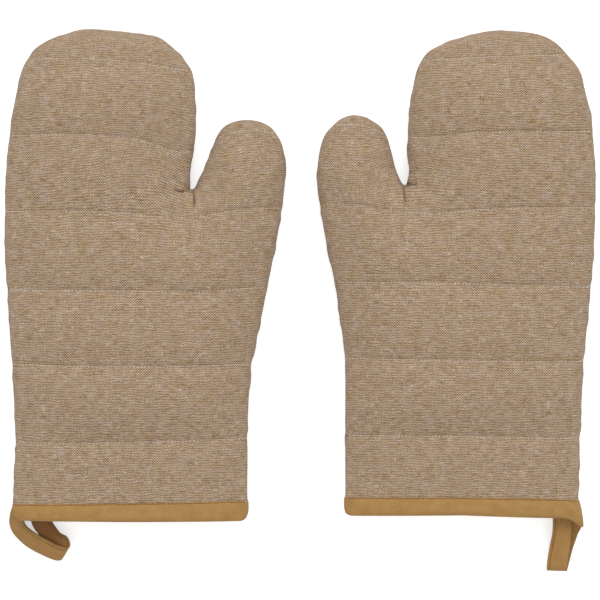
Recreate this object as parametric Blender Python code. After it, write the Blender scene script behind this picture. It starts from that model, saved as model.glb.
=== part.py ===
"""A pair of quilted oven mitts that lie palm down, side by side.

Lengths are in metres, +Z is up and the fingers point along +Y. The origin is on the table,
under the middle of the pair. A mitt has a back panel and a palm panel that meet in one seam
all round the hand. Each panel is a sandwich of shell, wadding and lining, quilted across.

All six faces of a sandwich share one flat map of the mitt. A face deeper in the wall draws
the map's rim in by what lies outside it, and rises less by what lies above it, so the layers
nest with a clearance everywhere and pinch together along the quilting.
"""

import math
from dataclasses import dataclass

import bmesh
import bpy
from mathutils import Vector
from mathutils.geometry import delaunay_2d_cdt

# The mitt, measured from the raw edge of its cuff to the fingertips
MITT_LENGTH = 0.3200
MITT_WIDTH = 0.1853
LEFT_CUFF_PLACE = (-0.1104, -0.1431)
RIGHT_CUFF_PLACE = (0.1049, -0.1405)
SEAM_HEIGHT = 0.0099
BACK_RISE = 0.0251
MOUTH_RISE = 0.0121
MOUTH_RAMP = 0.0900
CROTCH_FILLET = 0.0030
BACK_ROUNDING = 0.0600
PALM_ROUNDING = 0.0300
PALM_FLAT_SHARE = 0.95

# The wall
SHELL_THICKNESS = 0.0008
WADDING_THICKNESS = 0.0050
EDGE_WADDING_THICKNESS = 0.0020
LINING_THICKNESS = 0.0006
WALL_RAMP = 0.0180
INSET_REACH = 0.0200
CLEARANCE = 0.0003
FLOOR_CLEARANCE = 0.0002

# The quilting, counted up from the cuff
QUILT_FIRST = 0.0507
QUILT_PITCH = 0.0497
QUILT_LINES = 6
BACK_GROOVE = 0.0022
PALM_GROOVE = 0.0012
INNER_GROOVE = 0.0015
PUFF_POWER = 2.2
PALM_PUFF_FLAT_SHARE = 0.65

# The tape round the mouth
BINDING_WIDTH = 0.0115
BINDING_TAPE = 0.0009

# The hanging loop, a tape folded on itself and sewn at the little finger's end of the cuff
LOOP_WIDTH = 0.0135
LOOP_TAPE = 0.0018
LOOP_FOLD_RADIUS = 0.0052
LOOP_ROOT_RADIUS = 0.0020
LOOP_TACK = 0.0060
LOOP_BEND = 0.0080
LOOP_INSET = 0.0070

# The facets
CURVE_STEPS = 2
RING_DISTANCES = (0.0030, 0.0100)
RING_KEPT_SHARE = 0.9
SHARPEST_MITRE_SHARE = 0.7
ROW_MARGIN = 0.0050
MOUTH_COLUMNS = 5
COLUMN_STEP = 0.0260
ROW_SHARES = (-0.2, 0.0, 0.2, 0.5)
ARC_STEPS = 8
STRAND_STEPS = 6


@dataclass
class Mitt:
    """One mitt. Across shares are of its width, towards the thumb, and along shares of its length."""

    name: str
    cuff_place: tuple
    thumb_side: int
    hand_shares: list
    thumb_shares: list
    quilt_drift_shares: list
    loop_reach: float
    loop_turn: float


LEFT = Mitt(
    name="left",
    cuff_place=LEFT_CUFF_PLACE,
    thumb_side=1,
    hand_shares=[
        (-0.411, 0.000),
        (-0.404, 0.193),
        (-0.425, 0.410),
        (-0.440, 0.579),
        (-0.428, 0.756),
        (-0.390, 0.890),
        (-0.299, 0.972),
        (-0.159, 0.996),
        (0.052, 0.986),
        (0.185, 0.940),
        (0.229, 0.853),
        (0.213, 0.670),
    ],
    thumb_shares=[
        (0.213, 0.670),
        (0.266, 0.723),
        (0.322, 0.796),
        (0.422, 0.813),
        (0.512, 0.789),
        (0.545, 0.721),
        (0.526, 0.605),
        (0.469, 0.433),
        (0.420, 0.274),
        (0.411, 0.000),
    ],
    quilt_drift_shares=[
        [(-0.40, 0.01), (-0.26, -0.01), (0.01, 0.01), (0.41, 0.05)],
        [(-0.41, 0.02), (0.01, -0.01), (0.42, 0.02)],
        [(-0.43, -0.01), (0.05, -0.03), (0.21, -0.04), (0.48, 0.03)],
        [(-0.44, 0.01), (-0.02, -0.02), (0.11, -0.07), (0.25, -0.06), (0.35, 0.01), (0.52, 0.06)],
        [(-0.42, 0.01), (0.01, -0.05), (0.22, -0.20), (0.32, -0.01), (0.42, 0.07), (0.51, 0.03)],
        [(-0.35, 0.01), (-0.05, -0.03), (0.21, -0.16)],
    ],
    loop_reach=0.0310,
    loop_turn=math.radians(61),
)

RIGHT = Mitt(
    name="right",
    cuff_place=RIGHT_CUFF_PLACE,
    thumb_side=-1,
    hand_shares=[
        (-0.408, 0.000),
        (-0.421, 0.225),
        (-0.434, 0.347),
        (-0.458, 0.490),
        (-0.471, 0.652),
        (-0.458, 0.794),
        (-0.406, 0.914),
        (-0.300, 0.972),
        (-0.135, 0.986),
        (0.051, 0.962),
        (0.159, 0.898),
        (0.185, 0.764),
        (0.198, 0.666),
    ],
    thumb_shares=[
        (0.198, 0.666),
        (0.236, 0.714),
        (0.286, 0.789),
        (0.384, 0.815),
        (0.479, 0.776),
        (0.507, 0.687),
        (0.486, 0.589),
        (0.440, 0.455),
        (0.408, 0.317),
        (0.404, 0.175),
        (0.408, 0.000),
    ],
    quilt_drift_shares=[
        [(-0.42, 0.00), (-0.04, 0.03), (0.40, 0.04)],
        [(-0.42, 0.00), (0.03, 0.02), (0.40, 0.05)],
        [(-0.45, -0.03), (-0.10, 0.01), (0.44, 0.04)],
        [(-0.47, 0.01), (-0.04, -0.03), (0.10, -0.07), (0.24, -0.04), (0.37, 0.04), (0.49, 0.05)],
        [(-0.45, 0.00), (-0.04, -0.03), (0.17, -0.08), (0.27, -0.03), (0.35, 0.08), (0.45, 0.08)],
        [(-0.37, 0.00), (-0.10, -0.04), (0.12, -0.07)],
    ],
    loop_reach=0.0266,
    loop_turn=math.radians(10),
)


@dataclass
class Spot:
    """A point of the flat map, its distance from the seam and the way inwards from there."""

    across: float
    along: float
    distance: float
    inward: Vector


@dataclass
class PanelMap:
    """The flat map of one mitt: its spots, its triangles and the edges round it."""

    spots: list
    triangles: list
    rim: list
    mouth: list
    bound: list


def smoothstep(share):
    share = min(max(share, 0.0), 1.0)
    return share * share * (3 - 2 * share)


def rounded(share):
    """The height share of a quarter ellipse, from 0 at its foot to 1 at its top."""
    share = min(max(share, 0.0), 1.0)
    return math.sqrt(1 - (1 - share) ** 2)


def interpolate(table, value):
    if value <= table[0][0]:
        return table[0][1]
    for (low, first), (high, second) in zip(table, table[1:]):
        if value <= high:
            return first + (second - first) * (value - low) / (high - low)
    return table[-1][1]


def smooth_curve(points, steps):
    """A curve through the points, with this many steps between one point and the next."""
    ends = [2 * points[0] - points[1], *points, 2 * points[-1] - points[-2]]
    curve = []
    for before, start, end, after in zip(ends, ends[1:], ends[2:], ends[3:]):
        for step in range(steps):
            t = step / steps
            leaving = (end - before) / 2
            arriving = (after - start) / 2
            curve.append(
                (2 * t**3 - 3 * t**2 + 1) * start
                + (t**3 - 2 * t**2 + t) * leaving
                + (3 * t**2 - 2 * t**3) * end
                + (t**3 - t**2) * arriving
            )
    return [*curve, points[-1]]


def quilt_line(mitt, line, across):
    """How far up the mitt this quilting line runs."""
    drift = interpolate(mitt.quilt_drift_shares[line], across / MITT_WIDTH)
    return QUILT_FIRST + QUILT_PITCH * (line + drift)


def puff(mitt, across, along):
    """How full the wadding is: 0 on a quilting line and 1 midway to the next."""
    away = min(abs(along - quilt_line(mitt, line, across)) for line in range(QUILT_LINES))
    return 1 - (1 - min(2 * away / QUILT_PITCH, 1.0)) ** PUFF_POWER


def seam_line(mitt):
    """The seam's points from the cuff round the hand to the crotch, and round the thumb back."""
    hand = [Vector((MITT_WIDTH * across, MITT_LENGTH * along)) for across, along in mitt.hand_shares]
    thumb = [Vector((MITT_WIDTH * across, MITT_LENGTH * along)) for across, along in mitt.thumb_shares]
    hand = smooth_curve(hand, CURVE_STEPS)
    thumb = smooth_curve(thumb, CURVE_STEPS)
    crotch = hand[-1]
    fillet = [crotch + CROTCH_FILLET * (flank - crotch).normalized() for flank in (hand[-2], thumb[1])]
    curve = hand[:-1] + fillet + thumb[1:]
    bound = []
    for edge, inner in ((curve[0], curve[1]), (curve[-1], curve[-2])):
        bound.append(edge.lerp(inner, BINDING_WIDTH / (inner.y - edge.y)))
        bound[-1].y = BINDING_WIDTH
    return [curve[0], bound[0], *curve[1:-1], bound[1], curve[-1]]


def is_bound(along):
    return along < BINDING_WIDTH + CLEARANCE


def inward_normals(seam):
    """The mitred way in at each point of the seam. Along the binding it is square to the sides."""
    normals = []
    for index, point in enumerate(seam):
        if is_bound(point.y):
            normals.append(Vector((1.0 if index < len(seam) / 2 else -1.0, 0.0)))
            continue
        before = (point - seam[index - 1]).normalized()
        after = (seam[index + 1] - point).normalized()
        tangent = (before + after).normalized()
        normals.append(Vector((tangent.y, -tangent.x)) / max(tangent.dot(before), SHARPEST_MITRE_SHARE))
    return normals


def nearest_on_seam(point, seam):
    best = None
    for start, end in zip(seam, seam[1:]):
        run = end - start
        share = min(max((point - start).dot(run) / run.length_squared, 0.0), 1.0)
        foot = start + share * run
        if best is None or (point - foot).length < (point - best).length:
            best = foot
    return best


def is_inside(point, outline):
    inside = False
    for start, end in zip(outline, outline[1:] + outline[:1]):
        if (start.y > point.y) != (end.y > point.y):
            crossing = start.x + (end.x - start.x) * (point.y - start.y) / (end.y - start.y)
            inside ^= crossing > point.x
    return inside


def inner_spot(point, seam):
    foot = nearest_on_seam(point, seam)
    inward = point - foot
    distance = inward.length
    if is_bound(point.y):
        inward.y = 0.0
    return Spot(point.x, point.y, distance, inward.normalized())


def evenly_between(start, end, count):
    return [start.lerp(end, (index + 1) / (count + 1)) for index in range(count)]


def row_at(flat, along):
    """The spots of a row that is square to the mitt, in their order across it."""
    row = [index for index, point in enumerate(flat) if abs(point.y - along) < CLEARANCE]
    return sorted(row, key=lambda index: flat[index].x)


def panel_map(mitt):
    """Rings of spots inside the seam, rows of spots beside every quilting line, and their triangles."""
    seam = seam_line(mitt)
    normals = inward_normals(seam)
    spots = [Spot(point.x, point.y, 0.0, normal) for point, normal in zip(seam, normals)]
    last_ring = RING_DISTANCES[-1]

    for distance in RING_DISTANCES:
        for point, normal in zip(seam, normals):
            point_in = point + distance * normal
            if (point_in - nearest_on_seam(point_in, seam)).length > distance * RING_KEPT_SHARE:
                spots.append(Spot(point_in.x, point_in.y, distance, normal))

    sides = Vector((last_ring, 0.0))
    for start, end in ((seam[0], seam[-1]), (seam[1], seam[-2])):
        for point in evenly_between(start + sides, end - sides, MOUTH_COLUMNS):
            spots.append(inner_spot(point, seam))

    columns = math.floor(MITT_WIDTH / COLUMN_STEP)
    for line in range(QUILT_LINES):
        for row_share in ROW_SHARES:
            for column in range(-columns, columns + 1):
                across = column * COLUMN_STEP
                along = quilt_line(mitt, line, across) + row_share * QUILT_PITCH
                point = Vector((across, along))
                if is_inside(point, seam):
                    spot = inner_spot(point, seam)
                    if spot.distance > last_ring + ROW_MARGIN:
                        spots.append(spot)

    flat = [Vector((spot.across, spot.along)) for spot in spots]
    mouth = row_at(flat, 0.0)
    bound = row_at(flat, BINDING_WIDTH)
    seam_edges = [(i, i + 1) for i in range(len(seam) - 1)]
    mouth_edges = list(zip(mouth, mouth[1:]))
    bound_edges = list(zip(bound, bound[1:]))
    _, _, faces, sources, _, _ = delaunay_2d_cdt(
        flat, seam_edges + mouth_edges + bound_edges, [], 1, 1e-7
    )
    triangles = [tuple(sources[corner][0] for corner in face) for face in faces]
    rim = seam_edges + [(end, start) for start, end in reversed(mouth_edges)]
    return PanelMap(spots, triangles, rim, mouth, bound)


def wall_depths(mitt, spot, outer_groove, flat_share=1.0):
    """How deep each of the wall's six faces lies, from the shell's outside to the lining's inside.

    Puffs fuller than the flat share are pressed flat, as they are under the palm.
    """
    loft = smoothstep((spot.along - BINDING_WIDTH) / WALL_RAMP)
    fullness = puff(mitt, spot.across, spot.along)
    pinch = loft * (1 - fullness)
    wadding = EDGE_WADDING_THICKNESS + (WADDING_THICKNESS - EDGE_WADDING_THICKNESS) * loft
    groove = outer_groove * loft * (1 - min(fullness / flat_share, 1.0))
    shell_inside = groove + SHELL_THICKNESS
    wadding_inside = SHELL_THICKNESS + CLEARANCE + wadding - INNER_GROOVE * pinch
    lining_outside = wadding_inside + CLEARANCE
    return [
        groove,
        shell_inside,
        shell_inside + CLEARANCE,
        wadding_inside,
        lining_outside,
        lining_outside + LINING_THICKNESS,
    ]


def wall_insets():
    """How far in from the seam each of the six faces starts, where the wadding is sewn flat."""
    thicknesses = (
        0.0,
        SHELL_THICKNESS,
        CLEARANCE,
        EDGE_WADDING_THICKNESS,
        CLEARANCE,
        LINING_THICKNESS,
    )
    return [sum(thicknesses[: face + 1]) for face in range(len(thicknesses))]


def moved_in(spot, inset):
    shift = inset * max(0.0, 1 - spot.distance / INSET_REACH)
    return spot.across + shift * spot.inward.x, spot.along + shift * spot.inward.y


def back_face(mitt, panel, face):
    """The points of one face of the back panel's wall."""
    points = []
    for spot in panel.spots:
        across, along = moved_in(spot, wall_insets()[face])
        swell = smoothstep((spot.along - BINDING_WIDTH) / MOUTH_RAMP)
        rise = MOUTH_RISE + (BACK_RISE - MOUTH_RISE) * swell
        rise -= wall_depths(mitt, spot, BACK_GROOVE)[face]
        height = SEAM_HEIGHT + CLEARANCE / 2 + rise * rounded(spot.distance / BACK_ROUNDING)
        points.append((mitt.thumb_side * across, along, height))
    return points


def palm_face(mitt, panel, face):
    """The points of one face of the palm panel's wall, which lies flat on the table."""
    lip_lift = CLEARANCE + BINDING_TAPE + FLOOR_CLEARANCE
    points = []
    for spot in panel.spots:
        across, along = moved_in(spot, wall_insets()[face])
        lift = lip_lift * (1 - smoothstep((spot.along - BINDING_WIDTH) / WALL_RAMP))
        depth = wall_depths(mitt, spot, PALM_GROOVE, PALM_PUFF_FLAT_SHARE)[face]
        drop = SEAM_HEIGHT - CLEARANCE / 2 - lift - depth
        fullness = min(rounded(spot.distance / PALM_ROUNDING) / PALM_FLAT_SHARE, 1.0)
        height = SEAM_HEIGHT - CLEARANCE / 2 - drop * fullness
        points.append((mitt.thumb_side * across, along, height))
    return points


def material(name, colour, roughness):
    """A plain surface whose colour is given as it shows on a screen."""
    made = bpy.data.materials.new(name)
    made.use_nodes = True
    shader = made.node_tree.nodes["Principled BSDF"]
    linear = [((channel + 0.055) / 1.055) ** 2.4 for channel in colour]
    shader.inputs["Base Color"].default_value = (*linear, 1.0)
    shader.inputs["Roughness"].default_value = roughness
    shader.inputs["Metallic"].default_value = 0.0
    return made


def add_solid(name, points, faces, finish, holder, origin=(0.0, 0.0, 0.0)):
    mesh = bpy.data.meshes.new(name)
    work = bmesh.new()
    vertices = [work.verts.new(Vector(point) - Vector(origin)) for point in points]
    for face in faces:
        work.faces.new([vertices[corner] for corner in face])
    bmesh.ops.recalc_face_normals(work, faces=work.faces)
    work.to_mesh(mesh)
    work.free()
    mesh.shade_smooth()
    mesh.set_sharp_from_angle(angle=math.radians(50))
    mesh.materials.append(finish)
    solid = bpy.data.objects.new(name, mesh)
    solid.parent = holder
    solid.location = origin
    bpy.context.scene.collection.objects.link(solid)
    return solid


def add_layer(name, panel, outside, inside, finish, holder):
    """One layer of a wall, between two of its faces and closed all round the map's rim."""
    count = len(outside)
    faces = list(panel.triangles)
    faces += [tuple(count + corner for corner in reversed(face)) for face in panel.triangles]
    faces += [(end, start, count + start, count + end) for start, end in panel.rim]
    add_solid(name, outside + inside, faces, finish, holder)


def ring_at(mitt, panel, face, row):
    """The closed line of one face along a row: over the back, then back under the palm."""
    back = back_face(mitt, panel, face)
    palm = palm_face(mitt, panel, face)
    points = [back[spot] for spot in row] + [palm[spot] for spot in reversed(row[1:-1])]
    ring = [Vector((across, height)) for across, _, height in points]
    for end in (0, len(row) - 1):
        ring[end].y = SEAM_HEIGHT
    return ring


def grown(ring, distance):
    """The closed line moved outwards by this distance, mitred at its corners."""
    clockwise = sum(a.cross(b) for a, b in zip(ring, ring[1:] + ring[:1])) < 0
    moved = []
    for index, point in enumerate(ring):
        before = (point - ring[index - 1]).normalized()
        after = (ring[(index + 1) % len(ring)] - point).normalized()
        tangent = (before + after).normalized()
        outward = Vector((-tangent.y, tangent.x)) if clockwise else Vector((tangent.y, -tangent.x))
        moved.append(point + outward * distance / tangent.dot(before))
    return moved


def add_binding(mitt, panel, finish, holder):
    """The tape as one ring: down the outside of the wall, under its raw edge and up the inside."""
    outer, inner = (ring_at(mitt, panel, face, panel.mouth) for face in (0, 5))
    outer_top, inner_top = (ring_at(mitt, panel, face, panel.bound) for face in (0, 5))
    near = CLEARANCE
    far = CLEARANCE + BINDING_TAPE
    section = [
        (grown(outer_top, far), BINDING_WIDTH),
        (grown(outer, far), -near),
        (grown(outer, near), -far),
        (grown(inner, -near), -far),
        (grown(inner, -far), -near),
        (grown(inner_top, -far), BINDING_WIDTH),
        (grown(inner_top, -near), BINDING_WIDTH),
        (grown(inner, -near), -near),
        (grown(outer, near), -near),
        (grown(outer_top, near), BINDING_WIDTH),
    ]
    points = [(p.x, along, p.y) for ring, along in section for p in ring]
    around = len(outer)
    faces = []
    for row in range(len(section)):
        for index in range(around):
            after = (index + 1) % around
            low = row * around
            high = (row + 1) % len(section) * around
            faces.append((low + index, low + after, high + after, high + index))
    add_solid(f"{mitt.name}_cuff_binding", points, faces, finish, holder)


def strand_outline(start_radius, end_radius, start, end):
    """A closed line round two circles, as a belt runs, in the plane of the loop's length and height."""
    run = end - start
    lean = math.atan2(run.y, run.x)
    spread = math.asin((end_radius - start_radius) / run.length)
    upper = lean + math.pi / 2 + spread
    lower = lean - math.pi / 2 - spread
    line = []
    for step in range(ARC_STEPS + 1):
        angle = upper + (lower + 2 * math.pi - upper) * step / ARC_STEPS
        line.append(start + start_radius * Vector((math.cos(angle), math.sin(angle))))
    below = end + end_radius * Vector((math.cos(lower), math.sin(lower)))
    line += evenly_between(line[-1], below, STRAND_STEPS)
    for step in range(ARC_STEPS + 1):
        angle = lower + (upper - lower) * step / ARC_STEPS
        line.append(end + end_radius * Vector((math.cos(angle), math.sin(angle))))
    line += evenly_between(line[-1], line[0], STRAND_STEPS)
    return line


def loop_place(mitt, run, aside):
    """Where a point of the loop lies from its root, after the bend that turns it under the mouth."""
    bent = min(max(run / LOOP_BEND, 0.0), 1.0)
    angle = mitt.loop_turn * bent
    radius = LOOP_BEND / mitt.loop_turn
    straight = run - LOOP_BEND * bent
    across = radius * (1 - math.cos(angle)) + straight * math.sin(angle)
    along = -radius * math.sin(angle) - straight * math.cos(angle)
    return across + aside * math.cos(angle), along + aside * math.sin(angle)


def add_loop(mitt, seam, finish, holder):
    """A flat eye of folded tape whose round root turns beside the binding, and whose top is level."""
    drop = LOOP_FOLD_RADIUS - LOOP_ROOT_RADIUS
    root = Vector((0.0, 0.0))
    fold = Vector((mitt.loop_reach, -drop))
    tack_share = LOOP_TACK / mitt.loop_reach
    tack_radius = LOOP_ROOT_RADIUS + drop * tack_share - LOOP_TAPE
    outer = strand_outline(LOOP_ROOT_RADIUS, LOOP_FOLD_RADIUS, root, fold)
    inner = strand_outline(tack_radius, LOOP_FOLD_RADIUS - LOOP_TAPE, root.lerp(fold, tack_share), fold)
    origin = (
        mitt.thumb_side * (seam[0].x + LOOP_INSET),
        -(2 * CLEARANCE + BINDING_TAPE + LOOP_ROOT_RADIUS),
        FLOOR_CLEARANCE + LOOP_FOLD_RADIUS + drop,
    )
    points = []
    for line in (outer, inner):
        for aside in (-LOOP_WIDTH / 2, LOOP_WIDTH / 2):
            for point in line:
                across, along = loop_place(mitt, point.x, aside)
                offset = Vector((mitt.thumb_side * across, along, point.y))
                points.append(Vector(origin) + offset)
    around = len(outer)
    walls = ((0, 1), (1, 3), (3, 2), (2, 0))
    faces = []
    for low, high in walls:
        for index in range(around):
            after = (index + 1) % around
            quad = (low * around + index, low * around + after)
            faces.append((*quad, high * around + after, high * around + index))
    add_solid(f"{mitt.name}_hanging_loop", points, faces, finish, holder, origin)


def add_mitt(mitt, finishes):
    holder = bpy.data.objects.new(f"{mitt.name}_mitt_place", None)
    holder.location = (*mitt.cuff_place, 0.0)
    bpy.context.scene.collection.objects.link(holder)
    panel = panel_map(mitt)
    for side, face_of in (("back", back_face), ("palm", palm_face)):
        faces = [face_of(mitt, panel, face) for face in range(6)]
        for index, layer in enumerate(("shell", "wadding", "lining")):
            name = f"{mitt.name}_{side}_{layer}"
            add_layer(name, panel, faces[2 * index], faces[2 * index + 1], finishes[layer], holder)
    add_binding(mitt, panel, finishes["binding"], holder)
    add_loop(mitt, seam_line(mitt), finishes["loop"], holder)


def clear_scene():
    for found in list(bpy.data.objects):
        bpy.data.objects.remove(found, do_unlink=True)


def main():
    clear_scene()
    finishes = {
        "shell": material("woven_check", (0.64, 0.56, 0.46), 0.92),
        "wadding": material("cotton_batt", (0.90, 0.88, 0.84), 0.98),
        "lining": material("plain_lining", (0.85, 0.81, 0.72), 0.90),
        "binding": material("twill_tape", (0.66, 0.52, 0.32), 0.85),
        "loop": material("folded_tape", (0.61, 0.46, 0.28), 0.85),
    }
    for mitt in (LEFT, RIGHT):
        add_mitt(mitt, finishes)
    bpy.context.view_layer.update()


main()
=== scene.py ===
"""The looks of a pair of quilted oven mitts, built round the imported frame.

Lengths are in metres in the frame of the CAD part. A mitt is worked out flat in its own plane:
across runs from the middle of the cuff towards the thumb, and along from the cuff to the fingers.
"""

import math
from dataclasses import dataclass

import bmesh
import bpy
import numpy as np
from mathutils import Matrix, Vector
from mathutils.bvhtree import BVHTree
from mathutils.geometry import delaunay_2d_cdt


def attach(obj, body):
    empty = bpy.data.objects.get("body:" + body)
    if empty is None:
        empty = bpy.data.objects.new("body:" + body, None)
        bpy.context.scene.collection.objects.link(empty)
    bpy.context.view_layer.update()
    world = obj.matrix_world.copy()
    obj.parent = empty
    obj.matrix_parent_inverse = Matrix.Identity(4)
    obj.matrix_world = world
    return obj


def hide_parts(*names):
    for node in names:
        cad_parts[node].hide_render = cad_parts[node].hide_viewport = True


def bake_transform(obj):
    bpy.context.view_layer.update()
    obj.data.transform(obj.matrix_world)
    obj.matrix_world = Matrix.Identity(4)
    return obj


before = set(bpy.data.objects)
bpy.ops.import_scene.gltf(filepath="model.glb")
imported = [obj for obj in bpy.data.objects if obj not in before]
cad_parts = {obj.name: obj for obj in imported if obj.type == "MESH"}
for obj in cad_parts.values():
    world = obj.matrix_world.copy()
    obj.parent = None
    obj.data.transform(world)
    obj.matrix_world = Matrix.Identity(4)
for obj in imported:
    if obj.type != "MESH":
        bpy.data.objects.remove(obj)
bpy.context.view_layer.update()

# The photograph's scale and view
METRES_PER_PIXEL = 0.00065
PICTURE_MIDDLE = 300
LENS_MM = 200.0
SENSOR_MM = 36.0
VIEW_WIDTH = 0.390

# The mitt, as the frame has it
MITT_LENGTH = 0.3200
MITT_WIDTH = 0.1853
CUFF_HALF = MITT_WIDTH * 0.410
SEAM_HEIGHT = 0.0099
BACK_RISE = 0.0251
MOUTH_RISE = 0.0121
MOUTH_RAMP = 0.0900
CROTCH_FILLET = 0.0030
BACK_ROUNDING = 0.0600
PALM_ROUNDING = 0.0300
PALM_FLAT_SHARE = 0.95
SHELL_THICKNESS = 0.0008
WADDING_THICKNESS = 0.0050
EDGE_WADDING_THICKNESS = 0.0020
LINING_THICKNESS = 0.0006
WALL_RAMP = 0.0180
INSET_REACH = 0.0200
CLEARANCE = 0.0003
FLOOR_CLEARANCE = 0.0002
QUILT_FIRST = 0.0507
QUILT_PITCH = 0.0497
QUILT_LINES = 6
BACK_GROOVE = 0.0022
PALM_GROOVE = 0.0012
INNER_GROOVE = 0.0015
PUFF_POWER = 2.2
PALM_PUFF_FLAT_SHARE = 0.65
BINDING_WIDTH = 0.0115
BINDING_TAPE = 0.0009
LOOP_WIDTH = 0.0135
LOOP_LEAST_WIDTH = 0.0124
LOOP_TAPE = 0.0018
LOOP_FOLD_SHARE = 0.55
LOOP_BEND_START = 0.0010
LOOP_BEND_END = 0.0085
LOOP_ROOT_HEIGHT = 0.0086
CAMERA_HEIGHT = SEAM_HEIGHT + VIEW_WIDTH * LENS_MM / SENSOR_MM

# The sewing
SEAM_STEP = 0.0018
SEAM_CURVE_STEPS = 24
CROTCH_STEPS = 9
QUILT_STITCH = 0.0024
BINDING_STITCH = 0.0020
BINDING_STITCH_LINE = 0.01084
LOOP_STITCH = 0.0021
LOOP_STITCH_SHARE = 0.31
LOOP_STITCH_MARGIN = 0.004
LOOP_STITCH_PLACE_SHARE = 0.70
LOOP_STITCH_HEIGHT_SHARE = 0.33
THREAD_RADIUS = 0.00030
THREAD_LIFT_SHARE = 0.4
THREAD_DIP_SHARE = 1.6
THREAD_LEVEL_SHARE = 0.3
THREAD_FLATNESS = 0.8
SEAM_BITE = 0.0007
EDGE_FULLNESS = 0.0010
EDGE_FULLNESS_REACH = 0.0035
EDGE_REACH = 0.0200
EDGE_STEPS = 400
CROTCH_NEAR = 0.006
CROTCH_REACH = 0.022
CROTCH_ZONE_SHARE = 0.3
SEAM_PLAIN_REACH = 0.0015
SEAM_DETAIL_REACH = 0.004
NICK_DEPTH = 0.0007
NICK_WIDTH = 0.0024
STITCH_PULL = 0.0005
STITCH_PULL_WIDTH = 0.0013
PUCKER_DEPTH = 0.00022
PUCKER_PITCH = 0.0075
PUCKER_SWAY = 1.3
PUCKER_SWAY_PITCH = 0.031
PUCKER_WANDER = 5.0
PUCKER_REACH = 0.0070
WOBBLE_DEPTH = 0.0006
WOBBLE_REACH = 0.012
CREASE_DEPTH = 0.0018
CREASE_WIDTH = 0.0007
CREASE_STEP = 0.0016
CREASE_CURVE_STEPS = 8
CREASE_WHOLE_SHARE = 0.6
CREASE_FADE = 0.007
CREASE_SEAM_REACH = 0.002
CREASE_PRESS = 0.0022
CREASE_PRESS_NEAR = 0.004
CREASE_PRESS_REACH = 0.010
WADDING_SINK = 0.0006
PULL_SLANT = 0.42
PULL_SPREADS = (3.0, 1.6)
MOUTH_SHIFT_REACH = 0.030
CORNER_FADE = 0.0125
THUMB_CORNER_REACH = 0.0050
LOOP_CORNER_REACH = 0.0060
TAPE_CORNER_REACH = 0.0090
SNUG_SHARE = 0.45
SNUG_REACH = 0.007
BULGE_REACH = 0.012
BULGE_POWER = 0.7
RIPPLE_PITCHES = (0.0043, 0.0061, 0.0093, 0.0150)
RIPPLE_SHARES = (0.3, 1.0)
RIPPLE_DEPTH = 0.00007
RIPPLE_LEAST_OFFSET = 0.00105
STITCH_JITTER = 0.00008
DROP_HEIGHT = 0.2
QUILT_PATH_HALF = 0.12
QUILT_PATH_POINTS = 481
QUILT_LEAST_RUN = 8
QUILT_STITCH_FILL = 0.72
BINDING_STITCH_FILL = 0.56
BINDING_STITCH_MARGIN = 0.0015
BINDING_PATH_POINTS = 200

# The meshes
GRID_CELL = 0.0015
SMOOTHING_REACH = 0.014
SMOOTHING_RATE = 0.24
SMOOTHING_ROUNDS = 170
EXACT_SWELL_REACH = 0.004
SWELL_CHANGE_REACH = 0.008
WOBBLE_ROUNDS = 60
NET_HALF_WIDTH = MITT_WIDTH * 0.56
NET_MERGE = 0.0004
NET_MARGIN_SHARE = 0.6
RING_KEPT_SHARE = 0.93
RING_CUFF_SHARE = 0.4
RING_GAP_SHARE = 0.35
CREASE_CLEARING = 0.0042
CREASE_ROWS = (-0.0032, -0.0016, -0.0007, 0.0, 0.0007, 0.0016, 0.0032)
CREASE_MARGIN = 0.0005
SHELL_STEP = 0.0042
SHELL_ROWS = (0.0, 0.03, 0.08, 0.155, 0.24, 0.327, 0.413, 0.5, 0.587, 0.673, 0.76, 0.845, 0.92, 0.97)
SHELL_RINGS = (0.0001, 0.0008, 0.0022, 0.0045)
BATT_STEP = 0.0075
INNER_CLOTH_STEP = 0.0060
LAYER_ROWS = tuple(np.linspace(0.0, 1.0, 9)[:-1])
LAYER_RINGS = (0.0012, 0.0045)
PIN_REACH = 0.0004
PIN_SEAM_REACH = 0.0012
SWELL_FRAMES = 20
SWELL_CAP = 0.0016
SWELL_SINK = 0.0002
SWELL_DRIFT = 0.0008
QUAD_ANGLE = 40
LAYER_SHARP_ANGLE = 55
MOUTH_END_PLACES = (0.0, 0.0003, 0.0010, 0.0022, 0.0038, 0.0058, 0.0080, 0.0105)
MOUTH_END = 0.0130
MOUTH_POINTS = 52
MOUTH_SEAM_POINTS = 20
BINDING_LEAST_HEIGHT = 0.0001
LOOP_LEAST_HEIGHT = 0.0002
LOOP_CURVE_STEPS = 6
STITCH_SIDES = 6
SMALL = 1e-9
CLOTH_SETTINGS = {
    "quality": 6,
    "mass": 0.25,
    "tension_stiffness": 18,
    "compression_stiffness": 18,
    "shear_stiffness": 8,
    "bending_stiffness": 0.4,
    "pin_stiffness": 1.0,
    "shrink_min": -0.025,
    "use_pressure": True,
    "uniform_pressure_force": 4.0,
}

# A wall's faces, from the outside of the shell, 0, to the inside of the lining, 5
OUTER_FACE = 0
WADDING_OUTER_FACE = 2
INNER_FACE = 5
LAYER_FACES = {"wadding": (2, 3), "lining": (4, 5)}
WALL_INSETS = np.cumsum([0, SHELL_THICKNESS, CLEARANCE, EDGE_WADDING_THICKNESS, CLEARANCE, LINING_THICKNESS])
SIDE_GROOVES = {"back": (BACK_GROOVE, 1.0), "palm": (PALM_GROOVE, PALM_PUFF_FLAT_SHARE)}

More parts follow.
